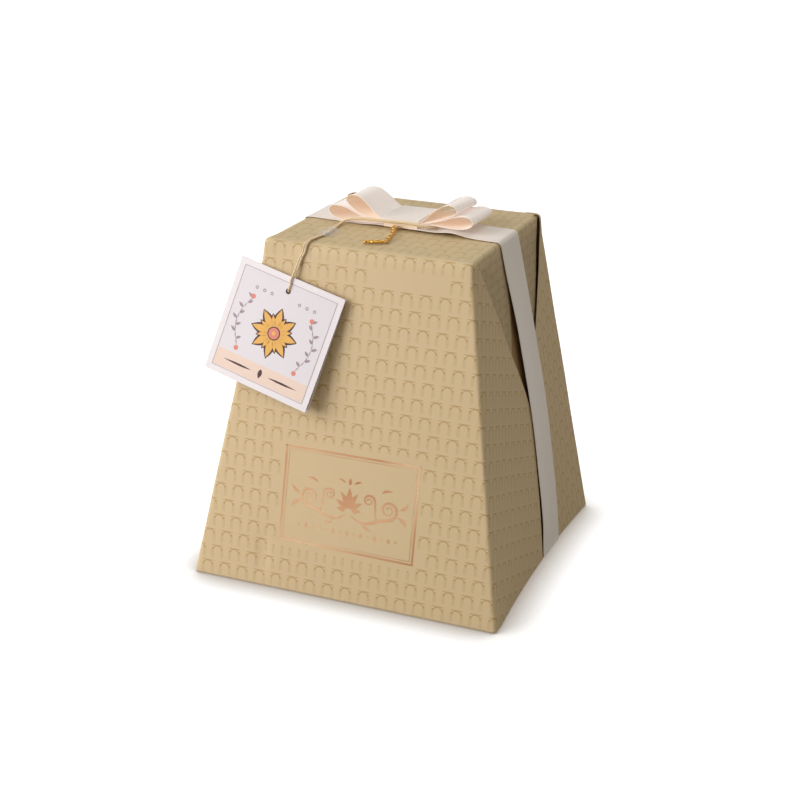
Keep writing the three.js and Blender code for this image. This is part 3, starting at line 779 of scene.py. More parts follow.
@dataclass(frozen=True)
class SatinFinish:
    """Cream satin with fine threads, and a painted warm glow on its inner side for light that comes through
    the satin and bounces inside the loops.
    """

    name: str = "satin_ribbon"
    outside: Colour = (0.885, 0.79, 0.725)
    # painted warm light on the inner side, for light through the satin and bounced inside the loops
    inside: Colour = (0.95, 0.78, 0.55)
    streak: Colour = (0.81, 0.71, 0.645)
    through: Colour = (0.0, 0.0, 0.0)  # a painted glow on the outer side, which brightens it past what the lamps give
    glow: Colour = (0.10, 0.068, 0.036)  # a painted glow on its inner side, for light that comes through the ribbon

    def build(self) -> Material:
        """Makes the finish.

        Returns:
            The material.
        """
        shader = Shader(
            self.name, 0.30, Specular_IOR_Level=1.0, Sheen_Weight=0.7, Sheen_Roughness=0.35,
            Emission_Strength=1.0,
        )
        # Painted light: a glow as emission, the outer one where the tint is 0 and the inner one where it is
        # 1, and the warm inner colour by the tint.
        glow = shader.mix(shader.tint(), self.through, self.glow)
        shader.feed("Emission Color", glow)
        along, across = shader.paper_place()
        weave = shader.effect(weave_group, Along=along, Across=across)
        colour = shader.mix(weave["Streak"] * 0.7, self.outside, self.streak)
        shader.feed("Base Color", shader.mix(shader.tint(), colour, self.inside))
        shader.bump(weave["Threads"], 0.012)
        return shader.material


@dataclass(frozen=True)
class MetalFinish:
    """Polished or stamped metal with faint unevenness; on the foil, a slow change from bright to dark copper
    is a painted reflection.
    """

    name: str
    colour: Colour
    mottle_and_reflection: Colour
    roughness: float
    metallic: float = 1.0
    slow: float = 60.0  # how closely the clouding follows, for each metre
    relief: float = 0.01

    def build(self) -> Material:
        """Makes the finish.

        Returns:
            The material.
        """
        shader = Shader(self.name, self.roughness, metallic=self.metallic)
        grain = shader.effect(grain_group, Fine=1200.0, Slow=self.slow)
        # The second colour by the clouding: random mottling on the gold, a painted reflection on the foil.
        share = ((grain["Cloud"] - 0.5) * 3.0).calculate("ADD", 0.5, clamp=True)
        shader.feed("Base Color", shader.mix(share, self.colour, self.mottle_and_reflection))
        shader.feed("Roughness", (grain["Cloud"] - 0.5) * 0.25 + self.roughness)
        shader.bump(grain["Grain"], self.relief)
        return shader.material


@dataclass(frozen=True)
class CordFinish:
    """Pale gold twisted thread, with painted shade in the valleys between its plies and on its ends."""

    light: Colour = (1.0, 0.82, 0.56)
    # painted shade, where the plies meet
    valley_shade: Colour = (0.34, 0.19, 0.06)

    def build(self) -> Material:
        """Makes the finish.

        Returns:
            The material.
        """
        shader = Shader("gold_cord", 0.42, metallic=0.1, Sheen_Weight=0.3)
        grain = shader.effect(grain_group, Fine=2600.0, Slow=180.0)
        # Mostly painted shade by the tint, with a little random clouding.
        share = shader.tint() * 0.9 + grain["Cloud"] * 0.1
        shader.feed("Base Color", shader.mix(share, self.light, self.valley_shade))
        shader.bump(grain["Grain"], 0.05)
        return shader.material


@dataclass(frozen=True)
class FlatFinish:
    """Card or printing ink: an even colour with faint clouding and a fine tooth."""

    name: str
    colour: Colour
    shade: Colour
    roughness: float = 0.5

    def build(self) -> Material:
        """Makes the finish.

        Returns:
            The material.
        """
        shader = Shader(self.name, self.roughness, Specular_IOR_Level=0.4)
        grain = shader.effect(grain_group, Fine=1400.0, Slow=40.0)
        shader.feed("Base Color", shader.mix(grain["Cloud"] * 0.6, self.colour, self.shade))
        shader.bump(grain["Grain"], 0.012)
        return shader.material


@dataclass(frozen=True)
class FilmFinish:
    """Thin clear film, with painted glints: whitish, less clear patches over the strands."""

    colour: Colour = (0.88, 0.86, 0.93)
    clearness: float = 0.04

    def build(self) -> Material:
        """Makes the finish.

        Returns:
            The material.
        """
        shader = Shader("clear_film", 0.14, Specular_IOR_Level=0.9, Coat_Weight=0.6, Coat_Roughness=0.08)
        grain = shader.effect(grain_group, Fine=500.0, Slow=240.0)
        shader.feed("Base Color", shader.mix(grain["Cloud"], self.colour, (0.97, 0.96, 1.0)))
        # Painted glints: where the tint is set, over the strands, the film turns whitish in patches.
        glints = ((grain["Cloud"] - 0.5) * 4.0).calculate("ADD", 0.5, clamp=True)
        alpha = shader.tint() * glints * 0.36 + self.clearness
        shader.feed("Alpha", alpha)
        shader.bump(grain["Cloud"], 0.12)
        return shader.material


class Ink(Enum):
    """The printed colours of the tag."""

    LILAC = FlatFinish("tag_ink_lilac", (0.735, 0.685, 0.73), (0.715, 0.665, 0.71))
    MAUVE = FlatFinish("tag_ink_mauve", (0.36, 0.27, 0.31), (0.32, 0.24, 0.28))
    PEACH = FlatFinish("tag_ink_peach", (0.80, 0.62, 0.53), (0.77, 0.59, 0.50))
    GOLD = FlatFinish("tag_ink_gold", (0.80, 0.44, 0.10), (0.73, 0.38, 0.08))
    BROWN = FlatFinish("tag_ink_brown", (0.07, 0.022, 0.02), (0.055, 0.018, 0.016))
    CORAL = FlatFinish("tag_ink_coral", (0.72, 0.24, 0.18), (0.66, 0.20, 0.15))


class Finishes:
    """The object's materials, each made once, but for the tag's inks, which the tag makes."""

    def __init__(self) -> None:
        """Makes the materials."""
        self.paper = PaperFinish().build()
        self.reverse = ReverseFinish().build()
        self.satin = SatinFinish().build()
        # The bow's satin is a brighter copy of the ribbon's, with a painted glow on its outer side, for the
        # light that falls on the loops.
        self.bow = SatinFinish(
            "satin_bow", outside=(0.94, 0.855, 0.815), streak=(0.88, 0.79, 0.75),
            through=(0.15, 0.125, 0.115),
        ).build()
        self.cord = CordFinish().build()
        self.film = FilmFinish().build()
        self.gold = MetalFinish("gold_metal", (0.86, 0.53, 0.13), (0.74, 0.40, 0.08), 0.22).build()
        # The foil's slow change between bright and dark copper is a painted reflection.
        self.foil = MetalFinish(
            "copper_foil", (1.0, 0.66, 0.40), (0.60, 0.27, 0.13), 0.32, metallic=0.5, slow=17.0, relief=0.003
        ).build()
        self.card = FlatFinish("tag_card", (0.80, 0.745, 0.775), (0.775, 0.72, 0.755)).build()


# ---------------------------------------------------------------- the box's form


@dataclass(frozen=True)
class Level:
    """One level of the paper: half its outline's width, its height, and how far its normal looks up."""

    half: float
    z: float
    tilt: float


@dataclass(frozen=True)
class BoxShape:
    """The truncated pyramid that the paper lies on."""

    base: float = 230.0
    top: float = 149.0
    height: float = 243.5
    edge_radius: float = 3.0
    shoulder_radius: float = 8.0
    crest_radius: float = 3.2  # the fold's own radius, inside the shoulder's room
    foot_radius: float = 1.5
    sag: float = 4.5

    @property
    def lean(self) -> float:
        """How far a face leans in from base to top."""
        return (self.base - self.top) / 2

    @property
    def slope(self) -> float:
        """Length of a face up its middle."""
        return math.hypot(self.height, self.lean)

    @property
    def face_angle(self) -> float:
        """A face's angle from the vertical."""
        return math.atan2(self.lean, self.height)

    @property
    def edge_angle(self) -> float:
        """A slanted edge's angle from the line up a face's middle, in the face."""
        return math.atan2(self.lean, self.slope)

    @property
    def shoulder_tangent(self) -> float:
        """Length of face that the shoulder's rounding takes."""
        return self.shoulder_radius * math.tan((math.pi / 2 - self.face_angle) / 2)

    @property
    def shoulder_x(self) -> float:
        """Where the flat top ends."""
        return self.top / 2 - self.shoulder_tangent

    @property
    def shoulder_start(self) -> float:
        """Length of paper up a face to where its shoulder starts."""
        return self.slope - self.shoulder_tangent

    @property
    def shoulder_end(self) -> float:
        """Length of paper up a face to the flat top."""
        return self.shoulder_start + self.shoulder_radius * (math.pi / 2 - self.face_angle)

    def crest(self, tilt: float) -> float:
        """Works out how far the folded paper stands out from the shoulder's round.

        Args:
            tilt: How far the paper's normal looks up, as an angle.

        Returns:
            The distance.
        """
        half = (math.pi / 2 - self.face_angle) / 2
        off = abs(tilt - self.face_angle - half)
        centre = (self.shoulder_radius - self.crest_radius) / math.cos(half)
        tangent = math.atan2(self.crest_radius * math.sin(half), centre + self.crest_radius * math.cos(half))
        if off >= half:
            return 0.0
        if off > tangent:
            return self.shoulder_radius / math.cos(half - off) - self.shoulder_radius
        across = centre * math.sin(off)
        return centre * math.cos(off) + math.sqrt(self.crest_radius**2 - across**2) - self.shoulder_radius

    def half_width(self, z: float) -> float:
        """Half the width between the planes of the faces at height z."""
        return self.base / 2 - self.lean * z / self.height

    def side_sag(self, y: float, z: float) -> float:
        """How far a side draws in from its plane."""
        across = max(0.0, 1 - (y / self.half_width(min(z, self.height))) ** 2)
        return self.sag * across * max(0.0, 1 - z / self.height) ** 1.2

    def level(self, up: float) -> Level:
        """Finds the paper's level.

        Args:
            up: Length up a face from the base edge. Below 0 the paper is turned in under the base.

        Returns:
            The level.
        """
        angle, radius = self.face_angle, self.foot_radius
        foot_top = radius * math.tan((math.pi / 2 + angle) / 2)
        foot_end = foot_top - radius * (math.pi / 2 + angle)
        if up < foot_end:
            return Level(self.base / 2 - foot_top + (up - foot_end), 0.0, -math.pi / 2)
        if up < foot_top:
            tilt = angle - (foot_top - up) / radius
            middle = self.base / 2 - foot_top
            return Level(middle + radius * math.cos(tilt), radius + radius * math.sin(tilt), tilt)
        if up <= self.shoulder_start:
            return Level(self.base / 2 - up * math.sin(angle), up * math.cos(angle), angle)
        tilt = min(math.pi / 2, angle + (up - self.shoulder_start) / self.shoulder_radius)
        reach = self.shoulder_radius + self.crest(tilt)
        half = self.shoulder_x + reach * math.cos(tilt)
        return Level(half, self.height - self.shoulder_radius + reach * math.sin(tilt), tilt)

    def on_front(self, x: float, up: float, out: float) -> np.ndarray:
        """Point of the front face: across, up the slope, and out from the paper."""
        sine, cosine = math.sin(self.face_angle), math.cos(self.face_angle)
        return np.array((x, -self.base / 2 + up * sine - out * cosine, up * cosine + out * sine))

    def on_shoulder(self, x: float, degrees: float, out: float) -> np.ndarray:
        """Finds a point round the front shoulder.

        Args:
            x: Its place across.
            degrees: Its angle from the vertical.
            out: How far it stands out from the paper.

        Returns:
            The point.
        """
        angle = math.radians(degrees)
        reach = self.shoulder_radius + self.crest(math.pi / 2 - angle) + out
        return np.array((
            x, -self.shoulder_x - reach * math.sin(angle),
            self.height - self.shoulder_radius + reach * math.cos(angle),
        ))

    def on_top(self, x: float, y: float, up: float) -> np.ndarray:
        """Point above the top face."""
        return np.array((x, y, self.height + up))

    def unfolded(self, y: float, up: float) -> Flat:
        """Where a point of the right side lies when its flap is unfolded into the front's plane.

        Args:
            y: The point's place along the side, from the front at -y.
            up: Its length up the side.

        Returns:
            Its place across and up the front's plane.
        """
        corner = self.base / 2
        sine, cosine = math.sin(self.edge_angle), math.cos(self.edge_angle)
        saved = self.edge_radius * (2 - math.pi / 2) * cosine  # the rounding's short cut past the edge
        along = (y + corner) * sine + up * cosine
        past = (y + corner) * cosine - up * sine - saved
        return corner - along * sine + past * cosine, along * cosine + past * sine


# ---------------------------------------------------------------- wrapping paper


@dataclass
class Spot:
    """A point of a sheet: its place, its outward direction and its paper coordinates."""

    place: np.ndarray
    normal: np.ndarray
    paper: Flat

    def moved(self, out: float) -> np.ndarray:
        """The place, moved out from the paper."""
        return self.place + self.normal * out


def outline_spot(shape: BoxShape, up: float, x_sign: float, plan: Flat, normal: Flat, paper: Flat) -> Spot:
    """Makes a spot from what it would be on the right half.

    Args:
        shape: The form of the box.
        up: Length up a face.
        x_sign: -1 mirrors the spot to the left half.
        plan: Its place, seen from above.
        normal: Its direction, seen from above.
        paper: Its paper coordinates.

    Returns:
        The spot.
    """
    level = shape.level(up)
    tilt = level.tilt
    direction = np.array((
        x_sign * normal[0] * math.cos(tilt), normal[1] * math.cos(tilt), math.sin(tilt)
    ))
    return Spot(np.array((x_sign * plan[0], plan[1], level.z)), direction, (x_sign * paper[0], paper[1]))


@dataclass
class FacePanel:
    """The paper on the front or the back: turned in under the base and folded round onto both sides.

    Its own frame has the face at -Y. The back's panel is turned half round.
    """

    shape: BoxShape
    flap_edge: FlatPath  # the flaps' free edge, as (y, length up the side)
    lift: Callable[[float, float, float], float]  # out from the paper, for (x, y, length up)
    top: Callable[[float], float]  # the upper hem, for a place from -1 at the left edge to 1 at the right
    pull: Callable[[np.ndarray], np.ndarray]  # how far a place moves out at the top's corners
    turned: bool = False
    turn_in: float = 26.0
    face_columns: int = 72
    arc_columns: int = 8
    flap_columns: int = 38
    face_rows: int = 84
    shoulder_rows: int = 14
    print_drift: float = 1.85  # how far the print strays outward on the left
    foot_end: float = 4.5  # the length up the face where its foot's finer rows end

    def rows(self) -> list[float]:
        """Lists the panel's rows.

        Returns:
            Lengths up the face, from the turned-in edge to the end of the shoulder.
        """
        shape = self.shape
        under = [-self.turn_in, -self.turn_in / 2, -4.0, -1.6]
        foot = np.linspace(-0.8, 2.2, 7).tolist()
        face = np.linspace(self.foot_end, shape.shoulder_start, self.face_rows).tolist()
        shoulder = np.linspace(shape.shoulder_start, shape.shoulder_end, self.shoulder_rows + 1)[1:].tolist()
        return under + foot + face + shoulder

    def half_row(self, up: float, x_sign: float) -> list[Spot]:
        """Makes half a row of spots.

        Args:
            up: Length up the face.
            x_sign: 1 for the right half, -1 for the left.

        Returns:
            The spots, from the middle of the face out to the flap's free edge.
        """
        shape = self.shape
        level = shape.level(up)
        flat = level.half - shape.edge_radius
        edge_up, edge_y = [e[1] for e in self.flap_edge], [e[0] for e in self.flap_edge]
        free_edge = float(np.interp(max(up, 0), edge_up[::-1], edge_y[::-1]))
        share = min(1.0, max(0.0, (-free_edge - flat) / shape.edge_radius))
        last_angle = math.acos(share) if free_edge < -flat else math.pi / 2
        spots = []
        for x in np.linspace(0, flat, self.face_columns // 2 + 1):
            spots.append(outline_spot(shape, up, x_sign, (x, -level.half), (0, -1), (x, up)))
        turn_start = np.array((flat, up))
        turn_end = np.array(shape.unfolded(-flat, up))
        for angle in np.linspace(0, last_angle, self.arc_columns + 1)[1:]:
            normal = (math.sin(angle), -math.cos(angle))
            plan = (flat + shape.edge_radius * normal[0], -flat + shape.edge_radius * normal[1])
            paper = turn_start + (turn_end - turn_start) * (angle / (math.pi / 2))
            spots.append(outline_spot(shape, up, x_sign, plan, normal, tuple(paper)))
        for y in np.linspace(-flat, max(free_edge, -flat), self.flap_columns + 1)[1:]:
            if free_edge <= -flat:
                spots.append(spots[-1])
                continue
            x = level.half - shape.side_sag(y, level.z)
            spots.append(outline_spot(shape, up, x_sign, (x, y), (1, 0), shape.unfolded(y, up)))
        return spots

    def add_to(self, mesh: Mesh, paper_shift: float = 0.0) -> None:
        """Adds the panel's faces to a mesh.

        Args:
            mesh: The mesh to add to.
            paper_shift: Added to the paper coordinate across, so that the print starts elsewhere.
        """
        turn = -1.0 if self.turned else 1.0
        full = self.shape.shoulder_end
        points, paper = [], []
        for up in self.rows():
            row, row_paper = [], []
            left, right = self.half_row(up, -1.0), self.half_row(up, 1.0)
            for spot in left[:0:-1] + right:
                limit = self.top(spot.place[0] / self.shape.level(up).half)
                place_ = spot
                if limit < full and up > self.foot_end:
                    place_ = self.squeezed(spot, up, limit)
                out = self.lift(place_.place[0], place_.place[1], up)
                at = place_.moved(out) + self.pull(place_.place)
                row.append((turn * at[0], turn * at[1], at[2]))
                drift = self.print_drift * smoothstep(-place_.paper[0], 25, 70)
                row_paper.append((place_.paper[0] + paper_shift - drift, place_.paper[1]))
            points.append(row)
            paper.append(row_paper)
        mesh.grid(np.array(points), np.array(paper))

    def squeezed(self, spot: Spot, up: float, limit: float) -> Spot:
        """Brings a spot that would lie above the panel's hem down to it.

        Args:
            spot: The spot.
            up: Its length up the face.
            limit: The hem's length up the face.

        Returns:
            The spot to use.
        """
        if up <= limit:
            return spot
        level = self.shape.level(limit)
        scale = level.half / self.shape.level(up).half
        place_ = np.array((spot.place[0] * scale, spot.place[1] * scale, level.z))
        flatness = math.cos(level.tilt)
        plan = np.array(spot.normal[:2])
        plan = plan / max(1e-6, float(np.linalg.norm(plan))) * flatness
        direction = np.array((*plan, math.sin(level.tilt)))
        return Spot(place_, direction, (spot.paper[0], limit))


@dataclass
class WrappedBox:
    """The box in its paper: one sheet over front and top, one over the back, and the dark inside."""

    shape: BoxShape
    finishes: Finishes
    paper_thickness: float = 0.25
    front_over: float = 0.9  # how far the front's flaps lie over the top's
    corner_pull: float = 1.2  # how far the folded corners of the top stand out past the rounding
    settled: float = 0.02  # how far the sheets lie inside the bare shape
    hem: Flat = (236.0, 248.0)  # the back's upper edge as lengths up the face: its middle and its corners
    front_corner: Flat = (238.0, 232.0)  # the top's lower end at a front corner: its front and its side
    back_corner: Flat = (229.0, 245.0)  # the same at a back corner
    back_lower: float = 228.0  # the same down the back
    shoulder_share: float = 0.34  # share of the rows of the top's flaps that lie on the shoulder
    back_print: float = 1370.0  # the back's paper coordinate in its middle, so that its print differs
    side_columns: int = 59
    side_rows: int = 40
    back_rows: int = 14
    base_inset: float = 6.0  # how far the sheet under the base ends inside it
    base_height: float = 0.3
    bed: Flat = (6.0, 48.0)  # the ribbon's bed under the base, from y to y
    bed_height: float = 1.6
    bed_slope: float = 0.4  # half the length of its sloping edges
    inner_heights: tuple[float, ...] = (
        2.0, 8.0, 20.0, 40.0, 60.0, 80.0, 95.0, 110.0, 125.0, 140.0, 160.0, 180.0, 200.0, 215.0, 228.0,
        236.0, 240.0, 242.6,
    )
    # Free edge of the front's flaps, as (y, length up the side): down the diagonal, then the open edge.
    front_edge: FlatPath = (
        (-67.7, 251.31), (-69.4, 246.6), (-58.1, 229.8), (-41.0, 202.9), (-30.2, 184.7), (-19.0, 166.1),
        (-7.0, 147.9), (2.6, 132.3), (10.4, 115.9), (12.4, 89.3), (10.0, 39.6), (6.5, 6.2), (6.0, 0.0),
    )
    # Free edge of the back's flaps in the back panel's own frame.
    back_edge: FlatPath = (
        (-64.5, 251.31), (-67.2, 245.0), (-68.4, 239.0), (-65.4, 235.5), (-62.5, 229.7), (-59.7, 220.7),
        (-55.9, 208.9), (-50.1, 195.4), (-46.5, 186.6), (-39.7, 171.1), (-24.0, 149.0), (-14.0, 128.0),
        (-31.0, 50.0), (-34.0, 0.0),
    )
    # Lower end of the top's flaps, as (y, length up the side). The right end is folded in at the slit.
    top_edge: FlatPath = (
        (-70.7, 232.0), (-58.1, 221.0), (-41.0, 194.0), (-30.2, 176.0), (-21.0, 160.0), (-12.5, 166.5),
        (-9.5, 178.6), (-7.5, 201.0), (-7.0, 226.0), (22.0, 226.0), (22.4, 156.0), (36.6, 156.0),
        (41.0, 162.0), (43.6, 170.0), (49.4, 188.1), (57.0, 212.5), (61.1, 226.4), (65.2, 238.1),
        (66.7, 244.0), (70.7, 245.0),
    )

    def pull(self, place_: np.ndarray) -> np.ndarray:
        """Folds the top's corners sharper than their rounding.

        Args:
            place_: A place on the paper.

        Returns:
            How far it moves out.
        """
        corner = (self.shape.top / 2, self.shape.top / 2, self.shape.height)
        away = math.dist((abs(place_[0]), abs(place_[1]), place_[2]), corner)
        outward = np.array((math.copysign(1, place_[0]), math.copysign(1, place_[1]), 0.35))
        return outward / np.linalg.norm(outward) * self.corner_pull * bell(max(0.0, away - 2.2), 0.0, 9.0)

    def front_lift(self, x: float, y: float, up: float) -> float:
        """Shapes the front's paper: soft waves, a dent, and flaps that lie over the top's.

        Args:
            x: The place across the face.
            y: The place along the side, from the face at negative y.
            up: Length up the face or the side.

        Returns:
            The distance out from the bare shape.
        """
        shape = self.shape
        on_side = smoothstep(y, -shape.level(up).half + 3, -shape.level(up).half + 14)
        wave = 0.30 * ripple(x + 2 * y * on_side, up, 3.1, 62.0) + 0.07 * ripple(x + y, up, 7.7, 19.0)
        fade = smoothstep(up, 0, 12)
        fade *= 1 - smoothstep(up, shape.shoulder_start - 14, shape.shoulder_start + 4)
        dent = -1.2 * bell(x, -62, 4.2) * bell(up, 24, 13) * (1 - on_side)
        foot = 0.28 * ripple(x, up * 3, 11.0, 9.0) * bell(up, 2, 4) if up > 0.5 else 0.0
        soft = -0.75 * bell(up, 245.7, 3.5) * smoothstep(60 - abs(x), 0, 12) * (1 - on_side)
        return wave * fade + dent + foot + soft + self.front_over * on_side - self.settled

    def back_lift(self, x: float, y: float, up: float) -> float:
        """Shapes the back's paper: it laps over the top's paper, and its flaps' tips lift.

        Args:
            x: The place across the face.
            y: The place along the side, from the face at negative y.
            up: Length up the face or the side.

        Returns:
            The distance out from the bare shape.
        """
        shape = self.shape
        on_side = smoothstep(y, -shape.level(up).half + 3, -shape.level(up).half + 14)
        wave = 0.28 * ripple(x + 2 * y * on_side, up, 23.1, 58.0) + 0.06 * ripple(x + y, up, 27.0, 17.0)
        fade = smoothstep(up, 0, 12)
        edge_y, edge_up = zip(*self.back_edge[::-1])
        free_edge = float(np.interp(up, edge_up, edge_y))
        loose = 1.0 if x < 0 else 0.3  # seen from the front, the flap on the left lies closer
        risen = min(1.0, max(0.0, (up - 171) / 68)) ** 1.3
        tip = 1.9 * loose * risen * smoothstep(y, free_edge - 9, free_edge)
        peak = bell(abs(x), 72, 7) * bell(up, 245, 6) * smoothstep(y, -75, -66) * 0.4 * loose
        crumple = peak * (0.7 + 0.8 * ripple(y * 1.5, up, 41.0, 4.0))
        return wave * fade + 0.25 + 0.1 * on_side + tip * on_side + crumple

    def top_out(self, up: float) -> float:
        """Works out how far the top's flaps stand out: under the shoulder they tip inward.

        Args:
            up: Length up the side.

        Returns:
            The distance, below 0 where it is inward.
        """
        if up >= self.shape.shoulder_end:
            return 0.0
        settle = -0.2 * (1 - smoothstep(up, self.shape.shoulder_start, self.shape.shoulder_end))
        return settle - max(0.0, self.shape.slope - up) * math.tan(math.radians(1.0))

    def skirt(
        self, mesh: Mesh, columns: list[tuple[float, Callable[[float], Spot]]], rows: int, shade: float = 0.0
    ) -> None:
        """Adds a skirt that hangs from the flat top's outline.

        Args:
            mesh: The mesh to add to.
            columns: For each column, its lower end and what gives its spot at a length up.
            rows: How many rows to make.
            shade: How much painted shade it takes below the shoulder.
        """
        shape = self.shape
        points, paper, tints = [], [], []
        for k in range(rows + 1):
            row, row_paper = [], []
            share = k / rows
            below = (share - self.shoulder_share) / (1 - self.shoulder_share)
            for lower, spot_at in columns:
                bend = max(lower, shape.shoulder_start)
                if below < 0:
                    up = lerp(shape.shoulder_end, bend, share / self.shoulder_share)
                else:
                    up = lerp(bend, lower, below)
                spot = spot_at(up)
                row.append(spot.moved(self.top_out(up) - self.settled) + self.pull(spot.place))
                row_paper.append(spot.paper)
            points.append(row)
            paper.append(row_paper)
            # painted shade, setting in below the shoulder
            tints.append([shade * smoothstep(share, 0.2, 0.5)] * len(columns))
        mesh.grid(np.array(points), np.array(paper), tints=np.array(tints), flip=True)

    def side_spot(self, y_low: float, x_sign: float, up: float) -> Spot:
        """Finds a spot of a side, on a line that draws in a little over the shoulder.

        Args:
            y_low: The line's place along the side, below the shoulder.
            x_sign: 1 for the right side, -1 for the left.
            up: Length up the side.

        Returns:
            The spot.
        """
        shape = self.shape
        level = shape.level(up)
        flat_low = shape.level(shape.shoulder_start).half - shape.edge_radius
        y = y_low if up <= shape.shoulder_start else y_low / flat_low * (level.half - shape.edge_radius)
        paper = (shape.shoulder_x + shape.shoulder_end - up, shape.shoulder_end + y_low + shape.shoulder_x)
        x = level.half - shape.side_sag(y, level.z)
        return outline_spot(shape, up, x_sign, (x, y), (1, 0), paper)

    def corner_spot(self, angle: float, x_sign: float, y_sign: float, up: float) -> Spot:
        """Finds a spot of a rounded corner.

        Args:
            angle: Its place round the corner, from the face at 0 to the side at a right angle.
            x_sign: 1 for the right side, -1 for the left.
            y_sign: 1 for the back, -1 for the front.
            up: Length up the face.

        Returns:
            The spot.
        """
        shape = self.shape
        flat = shape.level(up).half - shape.edge_radius
        normal = (math.sin(angle), y_sign * math.cos(angle))
        plan = (flat + shape.edge_radius * normal[0], y_sign * flat + shape.edge_radius * normal[1])
        side = angle / (math.pi / 2)
        lower = shape.shoulder_end - up
        along = shape.shoulder_end + shape.shoulder_x + plan[1] + y_sign * lower * (1 - side)
        return outline_spot(shape, up, x_sign, plan, normal, (plan[0] + lower * side, along))

    def back_spot(self, x_share: float, up: float) -> Spot:
        """Finds a spot of the top's paper down the back.

        Args:
            x_share: Its place across, as a share of the flat half.
            up: Length up the back.

        Returns:
            The spot.
        """
        shape = self.shape
        level = shape.level(up)
        x = x_share * (level.half - shape.edge_radius)
        along = 2 * shape.shoulder_x + 2 * shape.shoulder_end - up
        return outline_spot(shape, up, 1.0, (x, level.half), (0, 1), (x, along))

    def top_point(self, x: float, y: float) -> np.ndarray:
        """Point of the paper on the flat top."""
        at = self.shape.on_top(x, y, 0.0)
        return at + self.pull(at) - (0.0, 0.0, self.settled)

    def top_grid(self, mesh: Mesh, xs: np.ndarray, ys: np.ndarray) -> None:
        """Adds a piece of the flat top.

        Args:
            mesh: The mesh to add to.
            xs: Its columns' places.
            ys: Its rows' places.
        """
        start = self.shape.shoulder_end + self.shape.shoulder_x
        mesh.grid(
            np.array([[self.top_point(x, y) for x in xs] for y in ys]),
            np.array([[(x, start + y) for x in xs] for y in ys]),
        )

    def lid(self, mesh: Mesh) -> None:
        """Adds the paper over the flat top, with its flaps down the sides and over the back's edge.

        Args:
            mesh: The mesh to add to.
        """
        shape = self.shape
        right_angle = math.pi / 2
        inner = shape.shoulder_x - shape.edge_radius
        start = shape.shoulder_end + shape.shoulder_x
        xs = np.linspace(-inner, inner, FacePanel.face_columns + 1)
        low_y, low_up = zip(*self.top_edge)
        flat_low = shape.level(shape.shoulder_start).half - shape.edge_radius
        ys_low = np.unique(np.round(np.concatenate([
            np.linspace(-flat_low, flat_low, self.side_columns), [y for y in low_y if abs(y) < flat_low]
        ]), 3))
        ys = ys_low / flat_low * inner

        self.top_grid(mesh, xs, ys)
        self.top_grid(mesh, xs, np.array([-shape.shoulder_x, -inner]))
        self.top_grid(mesh, xs, np.array([inner, shape.shoulder_x]))
        arc = np.linspace(0, right_angle, 9)
        for x_sign in (-1.0, 1.0):
            edge = np.array([inner, shape.shoulder_x]) * x_sign
            self.top_grid(mesh, np.sort(edge), ys)
            columns = []
            for angle in arc:
                lower = lerp(*self.front_corner, angle / right_angle)
                columns.append((lower, partial(self.corner_spot, angle, x_sign, -1.0)))
            for y in ys_low[1:]:
                columns.append((float(np.interp(y, low_y, low_up)), partial(self.side_spot, y, x_sign)))
            for angle in arc[::-1][1:]:
                lower = lerp(*self.back_corner, smoothstep(angle, 0.3, 1.2))
                columns.append((lower, partial(self.corner_spot, angle, x_sign, 1.0)))
            # the side flaps take painted shade
            self.skirt(mesh, columns if x_sign > 0 else columns[::-1], self.side_rows, shade=1.0)
            for y_sign in (-1.0, 1.0):
                rim = []
                for angle in arc:
                    across = inner + shape.edge_radius * math.sin(angle)
                    rim.append(self.top_point(
                        x_sign * across, y_sign * (inner + shape.edge_radius * math.cos(angle))
                    ))
                fan = np.array([[self.top_point(x_sign * inner, y_sign * inner)] * len(rim), rim])
                paper = np.stack([fan[..., 0], fan[..., 1] + start], axis=-1)
                mesh.grid(fan, paper, flip=x_sign * y_sign < 0)
        columns = [(self.back_lower, partial(self.back_spot, x / inner)) for x in xs[::-1]]
        self.skirt(mesh, columns, self.back_rows)

    def base_sheet(self, mesh: Mesh) -> None:
        """Adds the flat paper under the base, between the turned-in edges, with the ribbon's bed.

        Args:
            mesh: The mesh to add to.
        """
        half = self.shape.base / 2 - self.base_inset
        low, high = self.bed
        slope, flat, bed = self.bed_slope, self.base_height, self.bed_height
        ys = np.array([-half, low - slope, low + slope, high - slope, high + slope, half])
        heights = (flat, flat, bed, bed, flat, flat)
        xs = np.linspace(-half, half, 9)
        points = np.array([[(x, y, z) for x in xs] for y, z in zip(ys, heights)])
        mesh.grid(points, points[..., :2], flip=True)

    def inner_box(self) -> bpy.types.Object:
        """Makes the dark box inside, which shows through the slits between the flaps.

        Returns:
            Its object.
        """
        shape = self.shape
        mesh = Mesh()
        rings = []
        for z in self.inner_heights:
            along = shape.half_width(z) - 2.2 - 5.5 * smoothstep(z, 228, 243)
            right = []
            for y in np.linspace(-along, along, 48):
                depth = lerp(2.3, 6.5, smoothstep(y, 26, 42) * smoothstep(z, 120, 160))
                depth += 4.0 * smoothstep(z, 230, 243)
                right.append((shape.half_width(z) - shape.side_sag(y, z) - depth, y, z))
            rings.append(right + [(-x, y, z) for x, y, z in right[::-1]])
        rows = np.array(rings)
        mesh.grid(rows, tube=True)
        mesh.ring_cap(rows[0], flip=True)
        mesh.ring_cap(rows[-1])
        return mesh.build("inner_box", [self.finishes.reverse], smooth_angle=30)

